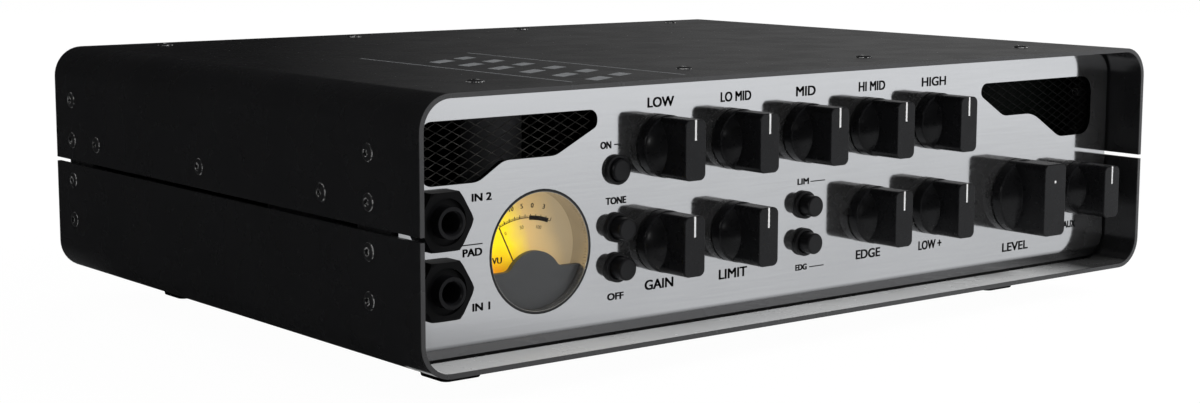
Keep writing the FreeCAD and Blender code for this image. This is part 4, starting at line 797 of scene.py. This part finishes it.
def vent_tree(material):
    """Expanded sheet: a lattice of diamond rings that touch at their corners."""
    tree = Tree("expanded_sheet", [
        ("Pitch Wide", "Float", DIAMOND_WIDE), ("Pitch High", "Float", DIAMOND_HIGH),
        ("Strand", "Float", 0.22 * MM), ("Thickness", "Float", 0.5 * MM)])
    ring = tree.add("GeometryNodeCurvePrimitiveQuadrilateral", {"mode": "KITE"})
    half_height = tree.maths("MULTIPLY", tree.given("Pitch High"), 0.5)
    tree.feed(ring, "Width", tree.given("Pitch Wide"))
    tree.feed(ring, "Bottom Height", half_height)
    tree.feed(ring, "Top Height", half_height)
    profile = tree.add("GeometryNodeCurvePrimitiveQuadrilateral", {"mode": "RECTANGLE"})
    tree.feed(profile, "Width", tree.given("Strand"))
    tree.feed(profile, "Height", tree.given("Thickness"))
    strand = tree.add("GeometryNodeCurveToMesh", Curve=ring.outputs[0],
                      Profile_Curve=profile.outputs[0])
    upright = tree.add("GeometryNodeTransform", Geometry=strand.outputs[0])
    tree.feed(upright, "Rotation", (math.radians(90), 0, 0))
    placed = tree.add("GeometryNodeInstanceOnPoints", Points=tree.given("Geometry"),
                      Instance=upright.outputs[0])
    tree.finish(placed.outputs[0], material)
    return tree


def lattice_points(low, high, rim):
    """Centres of the diamonds that fit between two corners."""
    columns = int((high.x - low.x - 2 * rim) / DIAMOND_WIDE)
    rows = int((high.z - low.z - 2 * rim) / DIAMOND_HIGH)
    spare_x = (high.x - low.x - columns * DIAMOND_WIDE) / 2
    spare_z = (high.z - low.z - rows * DIAMOND_HIGH) / 2
    middle_y = (low.y + high.y) / 2
    points = [(low.x + spare_x + DIAMOND_WIDE * (i + 0.5), middle_y,
               low.z + spare_z + DIAMOND_HIGH * (j + 0.5))
              for i in range(columns) for j in range(rows)]
    mesh = bpy.data.meshes.new("lattice")
    mesh.from_pydata(points, [], [])
    return mesh


def tick_tree(material):
    """Ticks along an arc of the dial, each pointing at the arc's centre."""
    tree = Tree("dial_ticks", [
        ("Radius", "Float", 26 * MM), ("First Angle", "Float", 0.0), ("Sweep", "Float", 1.0),
        ("Count", "Int", 10), ("Length", "Float", 2 * MM), ("Width", "Float", 0.3 * MM)])
    arc = tree.add("GeometryNodeCurveArc", {"mode": "RADIUS"})
    tree.feed(arc, "Resolution", tree.given("Count"))
    tree.feed(arc, "Radius", tree.given("Radius"))
    tree.feed(arc, "Start Angle", tree.given("First Angle"))
    tree.feed(arc, "Sweep Angle", tree.given("Sweep"))
    tick = tree.add("GeometryNodeMeshCube", Size=tree.vector(
        tree.given("Length"), tree.given("Width"), 0.05 * MM))
    points = tree.add("GeometryNodeCurveToPoints", {"mode": "EVALUATED"}, Curve=arc.outputs[0])
    position = tree.add("GeometryNodeInputPosition")
    turn = tree.add("FunctionNodeAlignRotationToVector", {"axis": "X"},
                    Vector=position.outputs[0])
    placed = tree.add("GeometryNodeInstanceOnPoints", Points=points.outputs["Points"],
                      Instance=tick.outputs["Mesh"], Rotation=turn.outputs[0])
    tree.finish(placed.outputs[0], material)
    return tree


# Lettering and flat marks.


def word_mesh(text, height, width=None):
    """A word in the XZ plane, centred, with capitals of the given height."""
    curve = bpy.data.curves.new("word", "FONT")
    curve.body = text
    curve.align_x = "CENTER"
    curve.align_y = "CENTER"
    curve.size = 1
    curve.extrude = 0.01
    curve.resolution_u = 4
    mesh = frozen(add_object("word_maker", curve))
    low = Vector([min(v.co[i] for v in mesh.vertices) for i in range(3)])
    high = Vector([max(v.co[i] for v in mesh.vertices) for i in range(3)])
    middle = (low + high) / 2
    tall = height / (high.y - low.y)
    wide = width / (high.x - low.x) if width else tall
    flat = PRINT_THICK / (high.z - low.z)
    size = Matrix.Diagonal((wide, tall, flat, 1))
    mesh.transform(QUARTER_TURN @ size @ Matrix.Translation(-middle))
    return mesh


def bar_mesh(width, height, thick=PRINT_THICK):
    """A flat bar in the XZ plane, centred."""
    work = bmesh.new()
    bmesh.ops.create_cube(work, size=1)
    bmesh.ops.scale(work, vec=(width, thick, height), verts=work.verts)
    return mesh_from(work, "bar")


def add_disc(work, radius, depth, segments, place=Matrix.Identity(4)):
    """Adds a closed round disc whose axis is the place's Z."""
    bmesh.ops.create_cone(work, cap_ends=True, segments=segments, radius1=radius,
                          radius2=radius, depth=depth, matrix=place)


def arc_band(inner, outer, first, last, steps=28, thick=0.04 * MM):
    """A flat band along an arc in the XY plane, angles in degrees from +X."""
    work = bmesh.new()
    rings = []
    for i in range(steps + 1):
        way = math.radians(first + (last - first) * i / steps)
        direction = Vector((math.cos(way), math.sin(way), 0))
        rings.append([work.verts.new(direction * radius + Vector((0, 0, rise)))
                      for radius, rise in ((inner, 0), (outer, 0), (outer, thick),
                                           (inner, thick))])
    for before, after in zip(rings, rings[1:]):
        for k in range(4):
            work.faces.new((before[k], before[(k + 1) % 4], after[(k + 1) % 4], after[k]))
    work.faces.new(rings[0][::-1])
    work.faces.new(rings[-1])
    bmesh.ops.recalc_face_normals(work, faces=work.faces)
    return mesh_from(work, "band")


def merged(name, parts):
    """One mesh from (mesh, matrix) pairs."""
    work = bmesh.new()
    for mesh, place in parts:
        mesh.transform(place)
        work.from_mesh(mesh)
    return mesh_from(work, name)


def at(x, y, z, turn=0.0):
    """A place, and a turn about the Y axis there."""
    return Matrix.Translation((x, y, z)) @ Matrix.Rotation(turn, 4, "Y")


# The printed, painted and finished parts.


# Words over and under the controls: text, X, level, height and width in millimetres.
CONTROL_WORDS = [
    ("LOW", -63.5, 76.0, 3.2, 11.0),
    ("LO MID", -30.7, 76.0, 3.2, 13.5),
    ("MID", 1.6, 76.0, 3.2, 9.0),
    ("HI MID", 33.9, 76.0, 3.2, 13.0),
    ("HIGH", 65.8, 76.0, 3.2, 12.5),
    ("GAIN", -63.8, 16.2, 3.2, 12.0),
    ("LIMIT", -31.2, 16.2, 3.2, 12.5),
    ("EDGE", 33.6, 16.2, 3.2, 12.0),
    ("LOW +", 65.8, 16.2, 3.2, 12.0),
    ("LEVEL", 113.2, 10.8, 3.2, 14.5),
    ("AUX", 144.8, 16.3, 2.6, 7.0),
    ("ON", -86.3, 63.4, 2.2, 4.2),
    ("TONE", -82.1, 45.3, 2.2, 8.2),
    ("OFF", -82.2, 14.1, 2.2, 6.5),
    ("LIM", 1.0, 44.7, 2.0, 5.2),
    ("EDG", 0.6, 14.7, 2.0, 5.2),
    ("IN 2", -134.7, 51.0, 2.3, 7.2),
    ("PAD", -138.3, 34.2, 2.3, 7.0),
    ("IN 1", -135.1, 17.0, 2.3, 6.4),
]
# Thin lines beside some of the words: X, level, width and height in millimetres.
CONTROL_LINES = [
    (-81.6, 63.4, 2.6, 0.4),
    (8.0, 44.4, 7.0, 0.35),
    (8.0, 14.4, 7.0, 0.35),
    (-138.3, 36.6, 7.6, 0.35),
]
# Each word is struck at four corners this far from its place, in millimetres, which makes its
# strokes bold.
STRIKES = [(-0.17, -0.08), (0.17, -0.08), (-0.17, 0.08), (0.17, 0.08)]


def letter_panel(finishes):
    """The words and thin lines printed on the panel, sunk a little into its face."""
    parts = []
    y = PANEL_FACE - 0.4 * PRINT_THICK
    for text, x, level, height, width in CONTROL_WORDS:
        mesh = word_mesh(text, height * MM, width * MM)
        for side, rise in STRIKES:
            strike = at((x + side) * MM, y, COVER_BASE + (level + rise) * MM)
            parts.append((mesh.copy(), strike))
    for x, level, width, height in CONTROL_LINES:
        parts.append((bar_mesh(width * MM, height * MM), at(x * MM, y, COVER_BASE + level * MM)))
    add_piece("panel_lettering", merged("panel_lettering", parts), "chassis",
              finishes["panel_ink"])


SMALL_KNOBS = ["bass_knob", "low_mid_knob", "middle_knob", "high_mid_knob", "treble_knob",
               "gain_knob", "compressor_knob", "drive_knob", "sub_knob", "phones_knob"]
BUTTONS = ["active_button", "shape_button", "mute_button", "compressor_button", "drive_button"]


# The paint in a knob's groove: a line under the skirt's top, or the big knob's dot above its
# middle. It lies a little behind the knob's face. The knobs' edges are eased by millimetres, in
# steps.
PAINT_THICK = 0.26 * MM
PAINT_BEHIND = 0.15 * MM
KNOB_EDGE, KNOB_STEPS = 0.25, 3
LINE_WIDE = 0.74 * MM
LINE_TALL = 6.7 * MM
LINE_BELOW_TOP = 3.85 * MM
DOT_RADIUS = 0.5 * MM
DOT_ABOVE_MIDDLE = 6.85 * MM


def dress_knobs(finishes):
    """Each knob with its white pointer line, or dot on the big one, laid in its groove."""
    for name in SMALL_KNOBS:
        low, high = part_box(name)
        eased(name, finishes["knob_plastic"], KNOB_EDGE, KNOB_STEPS)
        line = bar_mesh(LINE_WIDE, LINE_TALL, PAINT_THICK)
        line.transform(at((low.x + high.x) / 2, low.y + PAINT_BEHIND, high.z - LINE_BELOW_TOP))
        add_piece(name + "_pointer", line, name, finishes["pointer_paint"])
    name = "master_knob"
    low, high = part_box(name)
    middle = (low + high) / 2
    eased(name, finishes["knob_plastic"], KNOB_EDGE, KNOB_STEPS)
    work = bmesh.new()
    add_disc(work, DOT_RADIUS, PAINT_THICK, 24)
    dot = mesh_from(work, "dot")
    dot.transform(at(middle.x, low.y + PAINT_BEHIND, middle.z + DOT_ABOVE_MIDDLE) @ QUARTER_TURN)
    add_piece("master_knob_dot", dot, name, finishes["pointer_paint"])


# Screws, in millimetres: the columns behind the front edge and ahead of the rear one, the levels
# above the covers' underside, the row along a rail, and the places across the top. Edges sharper
# than the crease stay sharp.
FRONT_COLUMN = 28.2
REAR_COLUMN = 13.8
SCREW_LEVELS = [20.6 + 15.1 * i for i in range(4)]
RAIL_ROW = [55.5 + 79.8 * i for i in range(3)]
ACROSS_TOP = (-128, -42.5, 42.5, 128)
SCREW_CREASE = math.radians(30)


def lay_screws(finishes):
    """The covers' screws, at the places of the solid ones."""
    tree = screw_tree(finishes["black_screw"])
    values = {"Dome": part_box("side_screws")[1].x - COVER_SIDE}
    front_line = FRONT_EDGE + FRONT_COLUMN * MM
    rear_line = REAR_EDGE - REAR_COLUMN * MM
    levels = [COVER_BASE + level * MM for level in SCREW_LEVELS]
    spots = [(line, level) for line in (front_line, rear_line) for level in levels]
    spots += [(FRONT_EDGE + place * MM, levels[2]) for place in RAIL_ROW]
    sides = []
    for side in (-1, 1):
        sides += [((side * COVER_SIDE, line, level), (side, 0, 0)) for line, level in spots]
    tops = [((x * MM, line, COVER_TOP), (0, 0, 1))
            for line in (front_line, rear_line) for x in ACROSS_TOP]
    for name, places in (("side_screws", sides), ("top_screws", tops)):
        mesh = tree.grow(name, screw_points(places), values)
        for face in mesh.polygons:
            face.use_smooth = True
        mesh.set_sharp_from_angle(angle=SCREW_CREASE)
        stand_in(name, mesh, finishes["black_screw"])


def lay_vents(finishes):
    """The expanded sheet behind each window."""
    tree = vent_tree(finishes["vent_strand"])
    for name in ("left_vent_mesh", "right_vent_mesh"):
        low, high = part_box(name)
        points = lattice_points(low, high, VENT_RIM)
        stand_in(name, tree.grow(name, points, {}), finishes["vent_strand"])


# The meter's scale round the needle's pivot, which lies below the dial's middle. Ticks: radius,
# first and last angle, count, length and width. Arcs: inner and outer radius, first and last
# angle. Rows of numbers: radius, height, the shifts that make the strokes bold, and each number
# with its angle from upright. Mark: the place from the dial's middle. Millimetres and degrees.
PIVOT_DROP = 16 * MM
SCALE_TICKS = [(26.3, 113, 68, 11, 1.1, 0.22), (26.1, 113, 88, 31, 0.6, 0.12)]
SCALE_ARCS = [(25.6, 25.8, 68, 113), (25.0, 26.4, 70, 87)]
UPPER_ROW = (29.6, 1.5, (-0.08, 0.08), [("20", -20), ("10", -11), ("5", -3), ("0", 5), ("3", 14)])
LOWER_ROW = (22.9, 1.1, (0.0,), [("0", -20), ("50", -4), ("100", 13)])
MARK, MARK_TALL, MARK_SHIFTS = "VU", 2.0, (-0.12, 0.12)
MARK_ACROSS, MARK_RISE = -11.2, -2.8


def number_row(pivot, radius, tall, shifts, numbers):
    """Numbers along an arc round the pivot, struck once for each sideways shift."""
    row = []
    for text, angle in numbers:
        way = math.radians(angle)
        mesh = word_mesh(text, tall * MM)
        for side in shifts:
            row.append((mesh.copy(), at(pivot.x + (math.sin(way) * radius + side) * MM, pivot.y,
                                        pivot.z + math.cos(way) * radius * MM, way)))
    return row


def print_dial(finishes):
    """Plain numbers, ticks and the arc of the meter's scale."""
    low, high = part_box("meter_dial")
    centre = (low + high) / 2
    face = low.y - PRINT_THICK
    pivot = Vector((centre.x, face, centre.z - PIVOT_DROP))
    parts = []
    tree = tick_tree(finishes["dial_ink"])
    upright = Matrix.Translation(pivot) @ QUARTER_TURN
    for radius, first, last, count, length, width in SCALE_TICKS:
        empty = bpy.data.meshes.new("nothing")
        mesh = tree.grow("ticks", empty, {
            "Radius": radius * MM, "First Angle": math.radians(first),
            "Sweep": math.radians(last - first), "Count": count, "Length": length * MM,
            "Width": width * MM})
        parts.append((mesh, upright))
    for inner, outer, first, last in SCALE_ARCS:
        parts.append((arc_band(inner * MM, outer * MM, first, last), upright))
    parts += number_row(pivot, *UPPER_ROW)
    mark = word_mesh(MARK, MARK_TALL * MM)
    for side in MARK_SHIFTS:
        parts.append((mark.copy(), at(centre.x + (side + MARK_ACROSS) * MM, face,
                                      centre.z + MARK_RISE * MM)))
    parts += number_row(pivot, *LOWER_ROW)
    add_piece("dial_scale", merged("dial_scale", parts), "chassis", finishes["dial_ink"])


# The needle: the arm, whose tip stays inside the solid's and a little short of it, the tail past
# the pivot, and the hub's discs with their radius, depth and place behind the pivot in millimetres.
ARM_WIDE, ARM_THICK = 0.32 * MM, 0.3 * MM
TIP_INSET, TIP_SHORT = 0.25 * MM, 0.2 * MM
TAIL_WIDE, TAIL_THICK, TAIL_LONG = 1.1 * MM, 0.4 * MM, 2.3 * MM
HUB_DISCS = [(1.7, 1.3, 0), (0.8, 8.8, 4.3)]
HUB_MIDDLE = 0.65 * MM


def draw_needle(finishes):
    """A thin needle with its hub, leaning left from its pivot behind the grey cover."""
    low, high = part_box("meter_needle")
    lens_low, lens_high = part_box("meter_lens")
    middle = (lens_low + lens_high) / 2
    pivot = Vector((middle.x, low.y + HUB_MIDDLE, middle.z - PIVOT_DROP))
    lean = math.atan2(pivot.x - low.x - TIP_INSET, high.z - pivot.z)
    length = (high.z - pivot.z) / math.cos(lean) - TIP_SHORT
    leaning = Matrix.Translation(pivot) @ Matrix.Rotation(-lean, 4, "Y")
    arm = bar_mesh(ARM_WIDE, length, ARM_THICK)
    arm.transform(leaning @ Matrix.Translation((0, 0, length / 2)))
    tail = bar_mesh(TAIL_WIDE, TAIL_LONG, TAIL_THICK)
    tail.transform(leaning @ Matrix.Translation((0, 0, -TAIL_LONG / 2)))
    work = bmesh.new()
    for radius, depth, back in HUB_DISCS:
        place = Matrix.Translation(pivot + Vector((0, back * MM, 0))) @ QUARTER_TURN
        add_disc(work, radius * MM, depth * MM, 32, place)
    hub = mesh_from(work, "hub")
    whole = merged("needle", [(mesh, Matrix.Identity(4)) for mesh in (arm, tail, hub)])
    stand_in("meter_needle", whole, finishes["needle_lacquer"])


# Stripes on the top, in millimetres: the pinstripes' places across, width, length and middle, the
# two columns of dashes with their widths, and the dashes' height, first row, pitch, number of rows
# and slant.
PINSTRIPES = (-105, -59)
PINSTRIPE_WIDE, PINSTRIPE_LONG, PINSTRIPE_MIDDLE = 1.0, 122, -53
DASH_COLUMNS = ((-74.5, 9), (-90, 11))
DASH_TALL, DASH_START, DASH_PITCH, DASH_ROWS = 6.5, -100, 17.5, 6
DASH_SLANT = 0.55


def stripe_top(finishes):
    """Two pinstripes along the top with two columns of plain slanted dashes between them."""
    parts = []
    z = COVER_TOP + 0.01 * MM
    slant = Matrix.Identity(4)
    slant[1][0] = DASH_SLANT
    for x in PINSTRIPES:
        parts.append((bar_mesh(PINSTRIPE_WIDE * MM, PINSTRIPE_LONG * MM),
                      at(x * MM, PINSTRIPE_MIDDLE * MM, z) @ QUARTER_TURN))
    for row in range(DASH_ROWS):
        for x, wide in DASH_COLUMNS:
            y = (DASH_START + row * DASH_PITCH + (x - DASH_COLUMNS[0][0]) * DASH_SLANT) * MM
            parts.append((bar_mesh(wide * MM, DASH_TALL * MM),
                          at(x * MM, y, z) @ slant @ QUARTER_TURN))
    add_piece("top_stripes", merged("top_stripes", parts), "chassis", finishes["case_ink"])


# Solids that show: the finish of each, the width of its eased edges in millimetres, and their steps.
EASED_PIECES = [
    ("top_cover", "powder_coat", 0.2, 2),
    ("bottom_cover", "lower_cover_coat", 0.2, 2),
    ("front_panel", "polished_panel", 0.2, 2),
    ("rubber_feet", "foot_rubber", 0.5, 3),
    *((button, "button_plastic", 0.2, 2) for button in BUTTONS),
    ("button_collars", "collar_plastic", 0.25, 2),
    ("input_jack_nuts", "nut_plastic", 0.3, 3),
    ("upper_input_jack", "jack_plastic", 0.15, 2),
    ("lower_input_jack", "jack_plastic", 0.15, 2),
    ("meter_housing", "meter_shell", 0.08, 2),
    ("meter_lens", "clear_lens", 0, 2),
    ("meter_cover", "meter_cover_grey", 0.15, 2),
]
# Solids that keep their shape, each with its finish.
PLAIN_PIECES = {
    "left_side_rail": "powder_coat", "right_side_rail": "powder_coat",
    "front_bracket": "powder_coat", "rear_panel": "powder_coat", "foot_screws": "zinc_screw",
    "potentiometers": "bare_metal", "pot_nuts": "nickel", "push_switches": "socket_plastic",
    "meter_dial": "dial_print", "meter_movement": "bare_metal", "meter_lamp": "lamp_glass",
    "control_board": "solder_mask", "power_board": "solder_mask",
    "board_standoffs": "zinc_screw", "heat_sink": "extrusion",
    "power_transformer": "ferrite", "capacitors": "can_sleeve", "fan_housing": "fan_plastic",
    "fan_rotor": "fan_plastic", "mains_inlet": "socket_plastic",
    "power_switch_frame": "socket_plastic", "power_rocker": "rocker_plastic",
    "left_speaker_socket": "socket_plastic", "right_speaker_socket": "socket_plastic",
    "balanced_output_socket": "socket_metal", "rear_jacks": "jack_plastic",
    "rear_jack_nuts": "nickel", "rear_screws": "black_screw",
}


def dress_parts(finishes):
    """The solids that show get eased edges, and the others their finish as they are."""
    for node, finish, edge, segments in EASED_PIECES:
        eased(node, finishes[finish], edge, segments)
    for node, finish in PLAIN_PIECES.items():
        paint_node(node, finishes[finish])


scene.view_settings.view_transform = "Standard"
set_camera()
light_scene()
lay_floor()
finishes = build_finishes()
dress_parts(finishes)
dress_knobs(finishes)
lay_screws(finishes)
lay_vents(finishes)
letter_panel(finishes)
print_dial(finishes)
draw_needle(finishes)
stripe_top(finishes)
